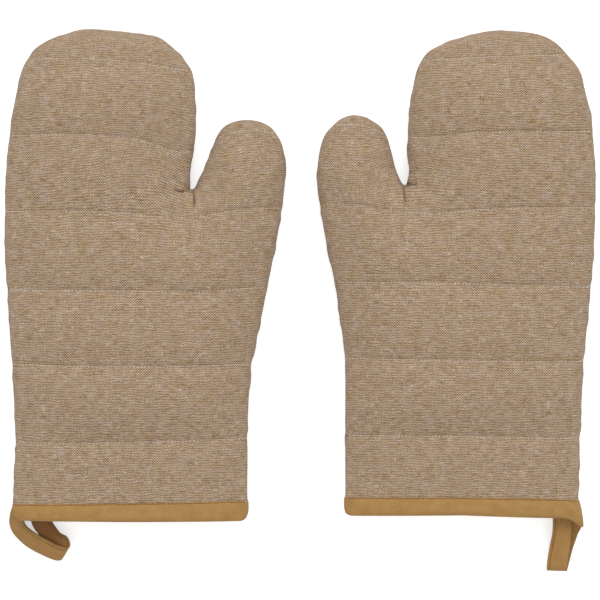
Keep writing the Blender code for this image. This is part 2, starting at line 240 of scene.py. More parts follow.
# The weaves and the light
WARP_PITCH = 0.00084
WEFT_PITCH = 0.00080
LINING_PITCH = 0.0006
TWILL_RUN = 0.0009
TWILL_RISE = 0.0006
INNER_SIDE_RISE = 4
# The painted shade on the loop's inner side: the share of it kept at the fold, where its fade starts and
# over how much of the tape it fades back to full
FOLD_LIGHT = 0.38
FOLD_SHADE_SHARE = 0.04
FOLD_FADE_SHARE = 0.22
FLOOR_SIZE = 12.0
FLOOR_DROP = 0.0003
FLOOR_SHADE = 0.82
FLOOR_GLOW = 0.56
WORLD_LIGHT = 0.62


@dataclass
class Mitt:
    """One mitt. Across shares are of its width, towards the thumb, and along shares of its length.

    The creases at the crotch and the edges of the loop's tape are in pixels of the photograph,
    and the tape's points have a height in millimetres after them. The pull is where the cloth
    between hand and thumb is dragged askew: its middle as seen from the crotch, and its reach.
    """

    name: str
    cuff_place: tuple
    thumb_side: int
    hand_shares: list
    thumb_shares: list
    quilt_drift_shares: list
    creases: list
    loop_edges: list
    loop_open_side: int
    loop_corner: float
    loop_bulge: float
    # How strong the painted shade on the inner side of the loop's tape is
    loop_shade: float
    thumb_corner: float
    tape_shifts: list
    pull_middle: tuple
    pull_reach: float
    seed: int


LEFT = Mitt(
    name="left",
    cuff_place=(-0.1104, -0.1431),
    thumb_side=1,
    hand_shares=[
        (-0.411, 0.0), (-0.404, 0.193), (-0.425, 0.41), (-0.44, 0.579), (-0.428, 0.756),
        (-0.39, 0.89), (-0.355, 0.943), (-0.299, 0.971), (-0.232, 0.986), (-0.159, 0.997),
        (-0.035, 0.993), (0.052, 0.986), (0.106, 0.98), (0.185, 0.94), (0.223, 0.902),
        (0.229, 0.853), (0.231, 0.782), (0.2125, 0.711), (0.213, 0.67),
    ],
    thumb_shares=[
        (0.213, 0.67), (0.2405, 0.6885), (0.266, 0.723), (0.322, 0.796), (0.422, 0.813), (0.512, 0.789),
        (0.545, 0.721), (0.526, 0.605), (0.469, 0.433), (0.42, 0.274), (0.411, 0.0),
    ],
    quilt_drift_shares=[
        [(-0.40, 0.01), (-0.26, -0.01), (0.01, 0.01), (0.41, 0.05)],
        [(-0.41, 0.02), (0.01, -0.01), (0.42, 0.02)],
        [(-0.43, -0.01), (0.05, -0.03), (0.21, -0.04), (0.48, 0.03)],
        [(-0.44, 0.01), (-0.02, -0.02), (0.11, -0.07), (0.25, -0.06), (0.35, 0.01), (0.52, 0.06)],
        [(-0.42, 0.01), (0.01, -0.05), (0.22, -0.20), (0.32, -0.01), (0.42, 0.07), (0.51, 0.03)],
        [(-0.35, 0.01), (-0.05, -0.03), (0.21, -0.16)],
    ],
    creases=[
        [(191.0, 187.8), (186.5, 190.6), (181.5, 192.4), (173.0, 190.4)],
        [(192.4, 188.5), (194.4, 196.0), (194.8, 203.0), (194.6, 211.0)],
    ],
    loop_edges=[
        ((18.0, 503.0, 8.5), (26.0, 504.0, 12.6)), ((13.6, 509.0, 6.6), (23.5, 511.5, 12.8)),
        ((10.8, 514.5, 4.8), (22.8, 515.5, 12.6)), ((9.6, 521.5, 3.0), (23.4, 520.6, 12.0)),
        ((11.6, 530.5, 1.2), (26.6, 526.0, 10.2)), ((17.3, 538.3, 0.9), (32.8, 531.0, 8.8)),
        ((27.5, 547.0, 0.9), (40.4, 535.9, 8.4)), ((41.0, 554.0, 0.9), (51.2, 542.2, 8.4)),
        ((50.0, 558.0, 0.9), (59.5, 546.2, 8.6)), ((57.0, 560.2, 0.9), (67.0, 547.4, 8.5)),
        ((60.8, 559.0, 1.6), (69.6, 543.8, 8.4)), ((60.0, 553.5, 3.4), (68.3, 539.5, 8.0)),
        ((54.0, 547.0, 3.6), (65.0, 536.5, 7.6)), ((44.0, 539.5, 4.0), (60.5, 533.5, 7.4)),
        ((36.5, 531.5, 5.6), (56.0, 527.5, 8.0)), ((31.0, 524.5, 7.2), (53.3, 521.5, 8.6)),
        ((28.5, 516.0, 8.6), (52.0, 514.0, 8.9)), ((28.0, 508.0, 8.8), (51.0, 507.0, 8.9)),
    ],
    loop_open_side=1,
    loop_corner=0.0055,
    loop_bulge=0.0,
    loop_shade=0.95,
    thumb_corner=0.0035,
    tape_shifts=[(-0.411, 0.0012, -0.0010), (0.0, 0.0006, 0.0), (0.411, 0.0009, 0.0013)],
    pull_middle=(-0.008, 0.014),
    pull_reach=0.020,
    seed=11,
)

RIGHT = Mitt(
    name="right",
    cuff_place=(0.1049, -0.1405),
    thumb_side=-1,
    hand_shares=[
        (-0.408, 0.0), (-0.421, 0.225), (-0.434, 0.347), (-0.458, 0.49), (-0.471, 0.652),
        (-0.458, 0.794), (-0.434, 0.862), (-0.406, 0.913), (-0.3, 0.972), (-0.135, 0.986),
        (-0.03, 0.977), (0.051, 0.962), (0.126, 0.939), (0.161, 0.898), (0.19, 0.78),
        (0.184, 0.703), (0.197, 0.6705),
    ],
    thumb_shares=[
        (0.197, 0.6705), (0.2265, 0.6985), (0.2455, 0.741), (0.277, 0.789), (0.384, 0.815), (0.479, 0.776),
        (0.507, 0.687), (0.486, 0.589), (0.44, 0.455), (0.411, 0.317), (0.409, 0.175), (0.408, 0.0),
    ],
    quilt_drift_shares=[
        [(-0.42, 0.0), (-0.04, 0.03), (0.40, 0.04)],
        [(-0.42, 0.0), (0.03, 0.02), (0.40, 0.05)],
        [(-0.45, -0.03), (-0.10, 0.01), (0.44, 0.04)],
        [(-0.47, 0.01), (-0.04, -0.03), (0.10, -0.07), (0.24, -0.04), (0.37, 0.04), (0.49, 0.05)],
        [(-0.45, 0.0), (-0.04, -0.03), (0.17, -0.08), (0.27, -0.03), (0.35, 0.08), (0.45, 0.08)],
        [(-0.37, 0.0), (-0.10, -0.04), (0.12, -0.07)],
    ],
    creases=[
        [(406.5, 183.6), (409.6, 184.9), (413.0, 185.4), (416.4, 184.6)],
        [(403.6, 185.5), (403.7, 192.0), (404.0, 199.0), (405.0, 206.0)],
    ],
    loop_edges=[
        ((554.0, 506.0, 8.8), (571.0, 506.0, 8.8)), ((553.8, 514.0, 8.6), (570.6, 514.0, 8.8)),
        ((553.8, 523.5, 8.2), (570.8, 523.0, 8.7)), ((552.0, 535.0, 7.4), (571.0, 534.0, 8.2)),
        ((549.0, 548.0, 6.7), (570.0, 547.5, 7.5)), ((547.0, 560.0, 6.2), (568.3, 560.0, 6.8)),
        ((546.3, 566.6, 5.6), (567.6, 567.0, 6.0)), ((546.2, 569.2, 3.6), (567.8, 569.7, 3.8)),
        ((547.0, 566.6, 1.6), (568.5, 567.0, 1.7)), ((549.0, 558.0, 1.2), (570.8, 558.5, 1.3)),
        ((552.5, 546.0, 1.2), (573.8, 546.5, 1.4)), ((558.0, 535.0, 1.6), (577.5, 535.0, 2.6)),
        ((563.0, 527.0, 2.8), (580.4, 527.5, 4.6)), ((566.0, 519.0, 4.4), (579.5, 519.0, 7.4)),
        ((567.5, 512.0, 5.6), (576.5, 511.5, 8.4)),
    ],
    loop_open_side=-1,
    loop_corner=-0.0062,
    loop_bulge=0.0034,
    loop_shade=0.15,
    thumb_corner=0.0030,
    tape_shifts=[
        (-0.408, -0.0001, -0.0006), (-0.2, 0.0010, 0.0006), (0.0, 0.0024, 0.0013), (0.408, 0.0017, 0.0010),
    ],
    pull_middle=(0.014, 0.012),
    pull_reach=0.014,
    seed=23,
)

# The tape round the mouth in section: which face it lies on, how far up the mitt, how far off the face
BINDING_SECTION = [
    *(
        ("outer", along, offset)
        for along, offset in (
            (0.0115, 0.00105), (0.01146, 0.00116), (0.01128, 0.0012), (0.01106, 0.00109),
            (BINDING_STITCH_LINE, 0.00096), (0.01046, 0.00114), (0.009, 0.00142), (0.0074, 0.00165),
            (0.0054, 0.00172), (0.0034, 0.00165), (0.0016, 0.00148), (0.0003, 0.00118),
            (-0.0006, 0.0006), (-0.0011, -0.0005),
        )
    ),
    ("middle", -0.0013, 0.0),
    *(
        ("inner", along, offset)
        for along, offset in (
            (-0.0011, -0.0005), (-0.0006, 0.0006), (0.0006, 0.00115), (0.0034, 0.00125),
            (0.0074, 0.00125), (0.0098, 0.00112), (0.0102, 0.00096), (0.0107, 0.00116),
            (0.0115, 0.00105), (0.0115, 0.0003), (0.0054, 0.0003), (-0.0003, 0.0003),
        )
    ),
    ("outer", -0.0003, 0.0003),
    ("outer", 0.0054, 0.0003),
    ("outer", 0.0115, 0.0003),
]

# One face of the loop's tape in section, from its fold to its sewn edge, in half widths and thicknesses
LOOP_FACE = [
    (-0.98, 0.34), (-0.92, 0.50), (-0.80, 0.52), (-0.40, 0.52), (0.10, 0.52), (0.50, 0.50), (0.64, 0.44),
    (0.70, 0.30), (0.76, 0.42), (0.84, 0.56), (0.93, 0.52), (0.99, 0.34), (0.97, 0.10),
]
LOOP_SECTION = [(-1.0, 0.0), *LOOP_FACE, (0.9, 0.0), *((wide, -thick) for wide, thick in LOOP_FACE[::-1])]

# A stitch from end to end: the place along it and the share of the thread's radius
STITCH_SHAPE = ((-0.5, 0.30), (-0.40, 0.78), (-0.15, 1.0), (0.15, 1.0), (0.40, 0.78), (0.5, 0.30))


def smoothstep(share):
    share = np.clip(share, 0.0, 1.0)
    return share * share * (3 - 2 * share)


def rounded(share):
    """The height share of a quarter ellipse, from 0 at its foot to 1 at its top."""
    share = np.clip(share, 0.0, 1.0)
    return np.sqrt(1 - (1 - share) ** 2)


def bell(distance, width):
    """1 at no distance, and less and less over about this width."""
    return np.exp(-((distance / width) ** 2))


def lengths(vectors):
    return np.linalg.norm(vectors, axis=1)


def unit(vectors):
    return vectors / lengths(vectors)[:, None]


def turned_left(vectors):
    return np.stack([-vectors[:, 1], vectors[:, 0]], axis=1)


def travel(line):
    """How far along the line each of its points lies."""
    return np.concatenate([[0.0], np.cumsum(lengths(np.diff(line, axis=0)))])


def read_along(places, runs, line):
    """The line's points at these places along it."""
    return np.stack([np.interp(places, runs, column) for column in line.T], axis=-1)


def hermite(t, start, start_slope, end, end_slope, run):
    """A smooth way from the start to the end, with these slopes over this run."""
    return (
        (2 * t**3 - 3 * t**2 + 1) * start
        + (t**3 - 2 * t**2 + t) * run * start_slope
        + (3 * t**2 - 2 * t**3) * end
        + (t**3 - t**2) * run * end_slope
    )


def smooth_curve(points, steps):
    """A curve through the points, with this many steps between one point and the next."""
    points = np.asarray(points, float)
    ends = np.vstack([2 * points[0] - points[1], points, 2 * points[-1] - points[-2]])
    curve = []
    for before, start, end, after in zip(ends, ends[1:], ends[2:], ends[3:]):
        curve += [hermite(t / steps, start, end - before, end, after - start, 0.5) for t in range(steps)]
    return np.array([*curve, points[-1]])


def resampled(line, step):
    """Points along the line about this far apart, with both of its ends."""
    runs = travel(line)
    count = max(2, int(round(runs[-1] / step)) + 1)
    return read_along(np.linspace(0.0, runs[-1], count), runs, line)


def eased(table, value):
    """A value read from a table of (place, value) pairs, along smooth slopes between them."""
    places, values = np.array(table).T
    slopes = np.gradient(values, places)
    value = np.clip(value, places[0], places[-1])
    index = np.clip(np.searchsorted(places, value, side="right") - 1, 0, len(places) - 2)
    run = places[index + 1] - places[index]
    t = (value - places[index]) / run
    return hermite(t, values[index], slopes[index], values[index + 1], slopes[index + 1], run)


def quilt_line(mitt, line, across):
    """How far up the mitt this quilting line runs."""
    drift = eased(mitt.quilt_drift_shares[line], np.asarray(across) / MITT_WIDTH)
    return QUILT_FIRST + QUILT_PITCH * (line + drift)


def away_from_quilting(mitt, across, along):
    """The signed way along the mitt from the nearest quilting line."""
    ways = np.stack([along - quilt_line(mitt, line, across) for line in range(QUILT_LINES)])
    nearest = np.argmin(np.abs(ways), axis=0)
    return np.take_along_axis(ways, nearest[None], axis=0)[0]


def puff(mitt, across, along):
    """How full the wadding is: 0 on a quilting line and 1 midway to the next."""
    away = np.abs(away_from_quilting(mitt, across, along))
    return 1 - (1 - np.minimum(2 * away / QUILT_PITCH, 1.0)) ** PUFF_POWER


def from_picture(mitt, point):
    """A pixel of the photograph as a point in the mitt's plane."""
    x = (point[0] - PICTURE_MIDDLE) * METRES_PER_PIXEL
    y = (PICTURE_MIDDLE - point[1]) * METRES_PER_PIXEL
    return np.array([mitt.thumb_side * (x - mitt.cuff_place[0]), y - mitt.cuff_place[1]])


def in_plane(mitt, points):
    """Points of the frame as the mitt's across and along, with their heights."""
    x, y, z = points.T
    return np.stack([mitt.thumb_side * (x - mitt.cuff_place[0]), y - mitt.cuff_place[1], z], axis=1)


def outward(line):
    """The way out of the mitt at each point of its seam, square to the seam."""
    away = turned_left(unit(np.gradient(line, axis=0)))
    away[0] = -1.0, 0.0
    away[-1] = 1.0, 0.0
    return away


def seam_line(mitt, step):
    """The seam from the cuff round the hand, through the crotch and round the thumb back."""
    hand, thumb = (
        smooth_curve([(MITT_WIDTH * a, MITT_LENGTH * b) for a, b in shares], SEAM_CURVE_STEPS)
        for shares in (mitt.hand_shares, mitt.thumb_shares)
    )
    crotch = hand[-1]
    hand = hand[lengths(hand - crotch) > CROTCH_FILLET]
    thumb = thumb[lengths(thumb - crotch) > CROTCH_FILLET]
    bend = [
        (1 - t) ** 2 * hand[-1] + 2 * t * (1 - t) * crotch + t**2 * thumb[0]
        for t in np.linspace(0.0, 1.0, CROTCH_STEPS)[1:-1]
    ]
    line = np.vstack([resampled(hand, step), bend, resampled(thumb, step)])
    for quilting in range(QUILT_LINES):
        away = line[:, 1] - quilt_line(mitt, quilting, line[:, 0])
        line -= (NICK_DEPTH * bell(away, NICK_WIDTH))[:, None] * outward(line)
    return line


def from_seam(points, seam):
    """Each point's distance from the seam, or another line, and the line's nearest point."""
    starts, runs = seam[:-1], np.diff(seam, axis=0)
    squares = (runs**2).sum(1)
    distances = np.empty(len(points))
    feet = np.empty((len(points), 2))
    batch = 2000
    for low in range(0, len(points), batch):
        part = points[low : low + batch, None]
        share = np.clip(((part - starts) * runs).sum(2) / squares, 0.0, 1.0)
        foot = starts + share[..., None] * runs
        length = np.linalg.norm(part - foot, axis=2)
        best = np.argmin(length, axis=1)
        rows = np.arange(len(best))
        distances[low : low + batch] = length[rows, best]
        feet[low : low + batch] = foot[rows, best]
    return distances, feet


def distance_from(points, line):
    return from_seam(points, line)[0]


def is_inside(points, outline):
    inside = np.zeros(len(points), bool)
    for start, end in zip(outline, np.roll(outline, -1, axis=0)):
        if start[1] != end[1]:
            spans = (start[1] > points[:, 1]) != (end[1] > points[:, 1])
            crossing = start[0] + (end[0] - start[0]) * (points[:, 1] - start[1]) / (end[1] - start[1])
            inside ^= spans & (crossing > points[:, 0])
    return inside


def around(field, mode):
    """The sum of each cell's four neighbours."""
    padded = np.pad(field, 1, mode=mode)
    return padded[:-2, 1:-1] + padded[2:, 1:-1] + padded[1:-1, :-2] + padded[1:-1, 2:]


def palm_fullness(distance):
    """How far below the seam the palm lies, from 0 to 1 where it is flat."""
    return np.minimum(rounded(distance / PALM_ROUNDING) / PALM_FLAT_SHARE, 1.0)


class Form:
    """The plan of one mitt: its seam, its creases and the smoothed swell of its back."""

    def __init__(self, mitt):
        self.mitt = mitt
        self.seam = seam_line(mitt, SEAM_STEP)
        lines = ([from_picture(mitt, point) for point in line] for line in mitt.creases)
        self.creases = [resampled(smooth_curve(line, CREASE_CURVE_STEPS), CREASE_STEP) for line in lines]
        self.low = self.seam.min(0) - 2 * GRID_CELL
        self.low[1] = -2 * GRID_CELL
        high = self.seam.max(0) + 2 * GRID_CELL
        self.columns = np.arange(self.low[0], high[0], GRID_CELL)
        self.rows = np.arange(self.low[1], high[1], GRID_CELL)
        grid = np.stack(np.meshgrid(self.columns, self.rows), axis=-1)
        flat = grid.reshape(-1, 2)
        level = np.where(flat[:, 1] < 0, GRID_CELL / 2, flat[:, 1])
        inside = is_inside(np.stack([flat[:, 0], level], axis=1), self.seam)
        distance = np.where(inside, distance_from(flat, self.seam), 0.0).reshape(grid.shape[:2])
        swell = rounded(distance / BACK_ROUNDING)
        spread = SMOOTHING_RATE * np.minimum(distance / SMOOTHING_REACH, 1.0) ** 2
        for _ in range(SMOOTHING_ROUNDS):
            swell = swell + spread * (around(swell, "edge") - 4 * swell)
        self.swell = swell
        noise = np.random.default_rng(mitt.seed).normal(size=swell.shape)
        for _ in range(WOBBLE_ROUNDS):
            noise = around(noise, "wrap") / 4
        self.wobble = noise / np.abs(noise).max()

    def read(self, field, points):
        """The field's value at points of the plane, between its cells."""
        place = (points - self.low) / GRID_CELL
        shape = np.array([len(self.columns), len(self.rows)])
        place = np.clip(place, 0, shape - 1.001)
        column, row = np.floor(place).astype(int).T
        right, up = (place - np.floor(place)).T
        lower = field[row, column] * (1 - right) + field[row, column + 1] * right
        upper = field[row + 1, column] * (1 - right) + field[row + 1, column + 1] * right
        return lower * (1 - up) + upper * up

    def swell_at(self, points, distance):
        """The swell, exact by the seam and smooth further in."""
        exact = rounded(distance / BACK_ROUNDING)
        share = smoothstep((distance - EXACT_SWELL_REACH) / SWELL_CHANGE_REACH)
        return exact * (1 - share) + self.read(self.swell, points) * share

    def cloth_places(self, points, side):
        """Where each point lies on the cloth, so that a weave keeps its scale down to the seam."""
        distance, feet = from_seam(points, self.seam)
        inside = is_inside(points, self.seam) | (points[:, 1] <= 0)
        inward = (points - feet) * np.where(inside, 1.0, -1.0)[:, None]
        inward /= np.maximum(lengths(inward), SMALL)[:, None]
        distance = np.where(inside, distance, 0.0)
        steps = EDGE_REACH * np.linspace(0.0, 1.0, EDGE_STEPS) ** 2
        if side == "back":
            heights = BACK_RISE * rounded(steps / BACK_ROUNDING)
        else:
            heights = SEAM_HEIGHT * palm_fullness(steps)
        runs = np.diff(steps)
        extra = np.concatenate([[0.0], np.cumsum(np.hypot(runs, np.diff(heights)) - runs)])
        amount = extra[-1] - np.interp(distance, steps, extra)
        middle = np.abs(self.seam[:, 0]) < CROTCH_ZONE_SHARE * MITT_WIDTH
        crotch = self.seam[np.argmin(np.where(middle, self.seam[:, 1], 1.0))]
        amount *= smoothstep((lengths(points - crotch) - CROTCH_NEAR) / CROTCH_REACH)
        places = points - amount[:, None] * inward
        places[:, 1] += self.askew(points - crotch)
        return places

    def askew(self, from_crotch):
        """How far along itself the cloth is dragged by the pull between the hand and the thumb."""
        reach = self.mitt.pull_reach
        across, along = (from_crotch - np.array(self.mitt.pull_middle)).T / reach
        fade = bell(across, PULL_SPREADS[0]) * bell(along, PULL_SPREADS[1])
        return PULL_SLANT * reach * np.tanh(across) * fade

    def crease_marks(self, points):
        """How deep in a crease each point lies, from 0 to 1."""
        marks = np.zeros(len(points))
        for crease in self.creases:
            run = lengths(points - crease[0])
            whole = CREASE_WHOLE_SHARE * np.linalg.norm(crease[-1] - crease[0])
            fade = 1 - smoothstep((run - whole) / CREASE_FADE)
            marks = np.maximum(marks, fade * bell(distance_from(points, crease), CREASE_WIDTH))
        return marks

    def crease_press(self, points):
        """How fully the wadding is pressed down under the creases, from 0 to 1."""
        gap = np.min([distance_from(points, crease) for crease in self.creases], axis=0)
        return 1 - smoothstep((gap - CREASE_PRESS_NEAR) / CREASE_PRESS_REACH)


@dataclass
class Net:
    """The flat mesh of a panel: its points, their distance from the seam and the way inwards."""

    points: np.ndarray
    distance: np.ndarray
    inward: np.ndarray
    triangles: list
    rim: list
    rings: int


def ring_inside(form, seam, distance, step):
    """A ring of points this far in from the seam, with none where the seam bends too sharply."""
    ring = seam - distance * outward(seam)
    ring[[0, -1], 1] = 0.0
    keep = (distance_from(ring, form.seam) > RING_KEPT_SHARE * distance) & (ring[:, 1] >= 0.0)
    keep &= (ring[:, 1] == 0.0) | (ring[:, 1] > RING_CUFF_SHARE * step)
    ring = ring[keep]
    apart = lengths(np.diff(ring, axis=0)) > RING_GAP_SHARE * step
    return ring[np.concatenate([[True], apart])]


def rows_inside(form, step, row_shares, margin):
    """Rows of points that follow the quilting lines, this far in from the seam."""
    columns = np.arange(-NET_HALF_WIDTH, NET_HALF_WIDTH, step)
    edges = [np.zeros_like(columns)]
    edges += [quilt_line(form.mitt, line, columns) for line in range(QUILT_LINES)]
    edges.append(edges[-1] + QUILT_PITCH)
    rows = [low + share * (high - low) for low, high in zip(edges, edges[1:]) for share in row_shares]
    inner = np.concatenate([np.stack([columns, row], axis=1) for row in rows])
    inner = inner[is_inside(inner, form.seam)]
    return inner[distance_from(inner, form.seam) > margin]


def crease_rows(form, crease, margin):
    """Rows of points beside a crease."""
    sideways = unit(turned_left(np.gradient(crease, axis=0)))
    for shift in CREASE_ROWS:
        beside = crease + shift * sideways
        yield beside[(distance_from(beside, form.seam) > margin) & is_inside(beside, form.seam)]


def net_of(form, step, ring_distances, row_shares, creases=()):
    """A flat mesh whose rows follow the quilting lines, with rings of points along the seam."""
    seam = seam_line(form.mitt, step)
    inner = rows_inside(form, step, row_shares, ring_distances[-1] + NET_MARGIN_SHARE * step)
    for crease in creases:
        inner = inner[distance_from(inner, crease) > CREASE_CLEARING]
    groups = [seam, *(ring_inside(form, seam, distance, step) for distance in ring_distances), inner]
    for crease in creases:
        groups += crease_rows(form, crease, ring_distances[-1] + CREASE_MARGIN)
    points = np.concatenate(groups)
    _, kept = np.unique(np.round(points / NET_MERGE), axis=0, return_index=True)
    points = points[np.union1d(np.arange(len(seam)), kept)]
    bottom = np.where(np.abs(points[:, 1]) < SMALL)[0]
    bottom = bottom[np.argsort(points[bottom, 0])]
    seam_edges = [(i, i + 1) for i in range(len(seam) - 1)]
    mouth_edges = [(int(a), int(b)) for a, b in zip(bottom, bottom[1:])]
    _, _, faces, sources, _, _ = delaunay_2d_cdt(
        [Vector(point) for point in points], seam_edges + mouth_edges, [], 1, 1e-7
    )
    triangles = [tuple(sources[corner][0] for corner in face) for face in faces]
    distance, feet = from_seam(points, form.seam)
    distance[: len(seam)] = 0.0
    inward = points - feet
    inward[: len(seam)] = -outward(seam)
    inward[points[:, 1] < BINDING_WIDTH + CLEARANCE, 1] = 0.0
    length = lengths(inward)
    inward /= np.where(length > SMALL, length, 1.0)[:, None]
    rim = seam_edges + [(b, a) for a, b in reversed(mouth_edges)]
    return Net(points, distance, inward, triangles, rim, len(seam))


def wall_depths(mitt, side, points):
    """How deep each of the wall's six faces lies, from the shell's outside to the lining's inside."""
    outer_groove, flat_share = SIDE_GROOVES[side]
    loft = smoothstep((points[:, 1] - BINDING_WIDTH) / WALL_RAMP)
    fullness = puff(mitt, points[:, 0], points[:, 1])
    pinch = loft * (1 - fullness)
    wadding = EDGE_WADDING_THICKNESS + (WADDING_THICKNESS - EDGE_WADDING_THICKNESS) * loft
    groove = outer_groove * loft * (1 - np.minimum(fullness / flat_share, 1.0))
    wadding_inside = SHELL_THICKNESS + CLEARANCE + wadding - INNER_GROOVE * pinch
    return [
        groove,
        groove + SHELL_THICKNESS,
        groove + SHELL_THICKNESS + CLEARANCE,
        wadding_inside,
        wadding_inside + CLEARANCE,
        wadding_inside + CLEARANCE + LINING_THICKNESS,
    ]


def face_inset(face, distance):
    """How far in from the seam a face lies, where the wadding is sewn flat."""
    return WALL_INSETS[face] * np.maximum(0.0, 1 - distance / INSET_REACH)


def face_heights(form, side, points, distance, face):
    depth = wall_depths(form.mitt, side, points)[face]
    past_binding = points[:, 1] - BINDING_WIDTH
    if side == "back":
        rise = MOUTH_RISE + (BACK_RISE - MOUTH_RISE) * smoothstep(past_binding / MOUTH_RAMP) - depth
        return SEAM_HEIGHT + CLEARANCE / 2 + rise * form.swell_at(points, distance)
    lift = CLEARANCE + BINDING_TAPE + FLOOR_CLEARANCE
    lift = lift * (1 - smoothstep(past_binding / WALL_RAMP))
    top = SEAM_HEIGHT - CLEARANCE / 2
    return top - (top - lift - depth) * palm_fullness(distance)


def mouth_shift(mitt, points):
    """How far the cloth by the mouth lies up the mitt, so that the tape runs a little askew."""
    places, lower, upper = np.array(mitt.tape_shifts).T
    places = places * MITT_WIDTH
    share = np.clip(points[:, 1] / BINDING_WIDTH, 0.0, 1.0)
    shift = np.interp(points[:, 0], places, lower) * (1 - share)
    shift += np.interp(points[:, 0], places, upper) * share
    return shift * (1 - smoothstep((points[:, 1] - BINDING_WIDTH) / MOUTH_SHIFT_REACH))


def corner_shift(mitt, points, binding=False):
    """How far the mouth's corners are pulled up the mitt, or down for the tape that runs on."""
    shift = mouth_shift(mitt, points)
    fade = np.clip(1 - points[:, 1] / CORNER_FADE, 0.0, 1.0)
    for side, lift, reach in (
        (1, mitt.thumb_corner, THUMB_CORNER_REACH),
        (-1, mitt.loop_corner, LOOP_CORNER_REACH if mitt.loop_corner > 0 else TAPE_CORNER_REACH),
    ):
        share = np.clip((side * points[:, 0] - CUFF_HALF + reach) / reach, 0.0, 1.0)
        if lift > 0:
            shift += fade * lift * (1 - np.sqrt(1 - share**2))
        elif binding:
            shift += fade * lift * smoothstep(share)
    return shift


def face_points(form, side, net, face):
    """The points of one face of a panel's wall, in the mitt's plane and with their heights."""
    heights = face_heights(form, side, net.points, net.distance, face)
    places = net.points + face_inset(face, net.distance)[:, None] * net.inward
    places[:, 1] += corner_shift(form.mitt, net.points)
    return np.column_stack([places, heights])


def new_object(mitt, name, points, faces):
    """An object of the mitt, from points in its plane with their heights."""
    name = f"{mitt.name}_{name}"
    across, along, height = points.T
    x = mitt.cuff_place[0] + mitt.thumb_side * across
    vertices = zip(x, mitt.cuff_place[1] + along, height)
    mesh = bpy.data.meshes.new(name)
    mesh.from_pydata(list(vertices), [], faces)
    work = bmesh.new()
    work.from_mesh(mesh)
    bmesh.ops.recalc_face_normals(work, faces=work.faces)
    work.to_mesh(mesh)
    work.free()
    mesh.shade_smooth()
    return linked(name, mesh)


def linked(name, data):
    """A new object of the scene."""
    made = bpy.data.objects.new(name, data)
    bpy.context.scene.collection.objects.link(made)
    return made


def evaluated(obj):
    return obj.evaluated_get(bpy.context.evaluated_depsgraph_get())


def apply_modifiers(obj):
    bpy.context.view_layer.update()
    mesh = bpy.data.meshes.new_from_object(evaluated(obj))
    old = obj.data
    obj.modifiers.clear()
    obj.data = mesh
    bpy.data.meshes.remove(old)
    obj.data.name = obj.name


def coordinates(mesh):
    found = np.empty(len(mesh.vertices) * 3)
    mesh.vertices.foreach_get("co", found)
    return found.reshape(-1, 3)


def set_coordinates(mesh, points):
    mesh.vertices.foreach_set("co", np.asarray(points, float).ravel())
    mesh.update()


# Materials


class Nodes:
    """A short way to write the node tree of a material or of the world."""

    def __init__(self, owner):
        self.owner = owner
        owner.use_nodes = True
        self.tree = owner.node_tree

    def node(self, kind, settings, inputs, output=0):
        made = self.tree.nodes.new(kind)
        for key, value in settings.items():
            setattr(made, key, value)
        for key, value in inputs.items():
            if isinstance(value, bpy.types.NodeSocket):
                self.tree.links.new(value, made.inputs[key])
            else:
                made.inputs[key].default_value = value
        return made.outputs[output]

    def math(self, operation, first, second=0.0):
        return self.node("ShaderNodeMath", {"operation": operation}, {0: first, 1: second})

    def add(self, first, second):
        return self.math("ADD", first, second)

    def times(self, first, second):
        return self.math("MULTIPLY", first, second)

    def wave(self, place):
        """1 at every even place and -1 at every odd one."""
        return self.math("COSINE", self.times(place, math.pi))

    def combine(self, x, y, z=0.0):
        return self.node("ShaderNodeCombineXYZ", {}, {0: x, 1: y, 2: z})

    def noise(self, vector, detail=2.0, roughness=0.5):
        """Noise from about 0 to 1 round 0.5, one cell to a unit of the vector."""
        inputs = {"Vector": vector, "Scale": 1.0, "Detail": detail, "Roughness": roughness}
        return self.node("ShaderNodeTexNoise", {}, inputs)

    def mixture(self, start, fields):
        """The start and the fields by their weights, where each field is 0.5 at its middle."""
        for field, weight in fields:
            start = self.add(start, self.times(self.math("SUBTRACT", field, 0.5), weight))
        return self.spread(self.add(start, 0.5), 0.0, 1.0)

    def blend(self, share, first, second):
        """A colour this share of the way from the first to the second."""
        colours = [c if isinstance(c, bpy.types.NodeSocket) else (*c, 1.0) for c in (first, second)]
        inputs = {0: share, 6: colours[0], 7: colours[1]}
        return self.node("ShaderNodeMix", {"data_type": "RGBA"}, inputs, 2)

    def spread(self, value, low, high, to_low=0.0, to_high=1.0):
        inputs = {"Value": value, "From Min": low, "From Max": high, "To Min": to_low, "To Max": to_high}
        return self.node("ShaderNodeMapRange", {"clamp": True}, inputs)

    def cloth_axes(self):
        place = self.node("ShaderNodeTexCoord", {}, {}, "UV")
        return tuple(self.node("ShaderNodeSeparateXYZ", {}, {0: place}, axis) for axis in (0, 1))

    def place(self, *scale):
        """Where a point lies on its object, with each axis scaled."""
        inputs = {"Vector": self.node("ShaderNodeTexCoord", {}, {}, "Object"), "Scale": scale}
        return self.node("ShaderNodeMapping", {}, inputs)

    def value_of(self, name):
        """The number that the mesh holds by this name."""
        return self.node("ShaderNodeAttribute", {"attribute_name": name}, {}, "Fac")

    def seen_ray(self):
        """1 for a ray that the camera sees, straight, in a shine or through glass, and 0 for the rest."""
        path = self.tree.nodes.new("ShaderNodeLightPath").outputs
        seen = self.math("MAXIMUM", path["Is Camera Ray"], path["Is Glossy Ray"])
        return self.math("MAXIMUM", seen, path["Is Transmission Ray"])

    def finish(self, colour, values, height=None, bump=0.0, strength=1.0):
        inputs = self.tree.nodes["Principled BSDF"].inputs
        self.tree.links.new(colour, inputs["Base Color"])
        inputs["Metallic"].default_value = 0.0
        for key, value in values.items():
            inputs[key].default_value = value
        if height is not None:
            bumps = {"Height": height, "Distance": bump, "Strength": strength}
            self.tree.links.new(self.node("ShaderNodeBump", {}, bumps), inputs["Normal"])
        return self.owner


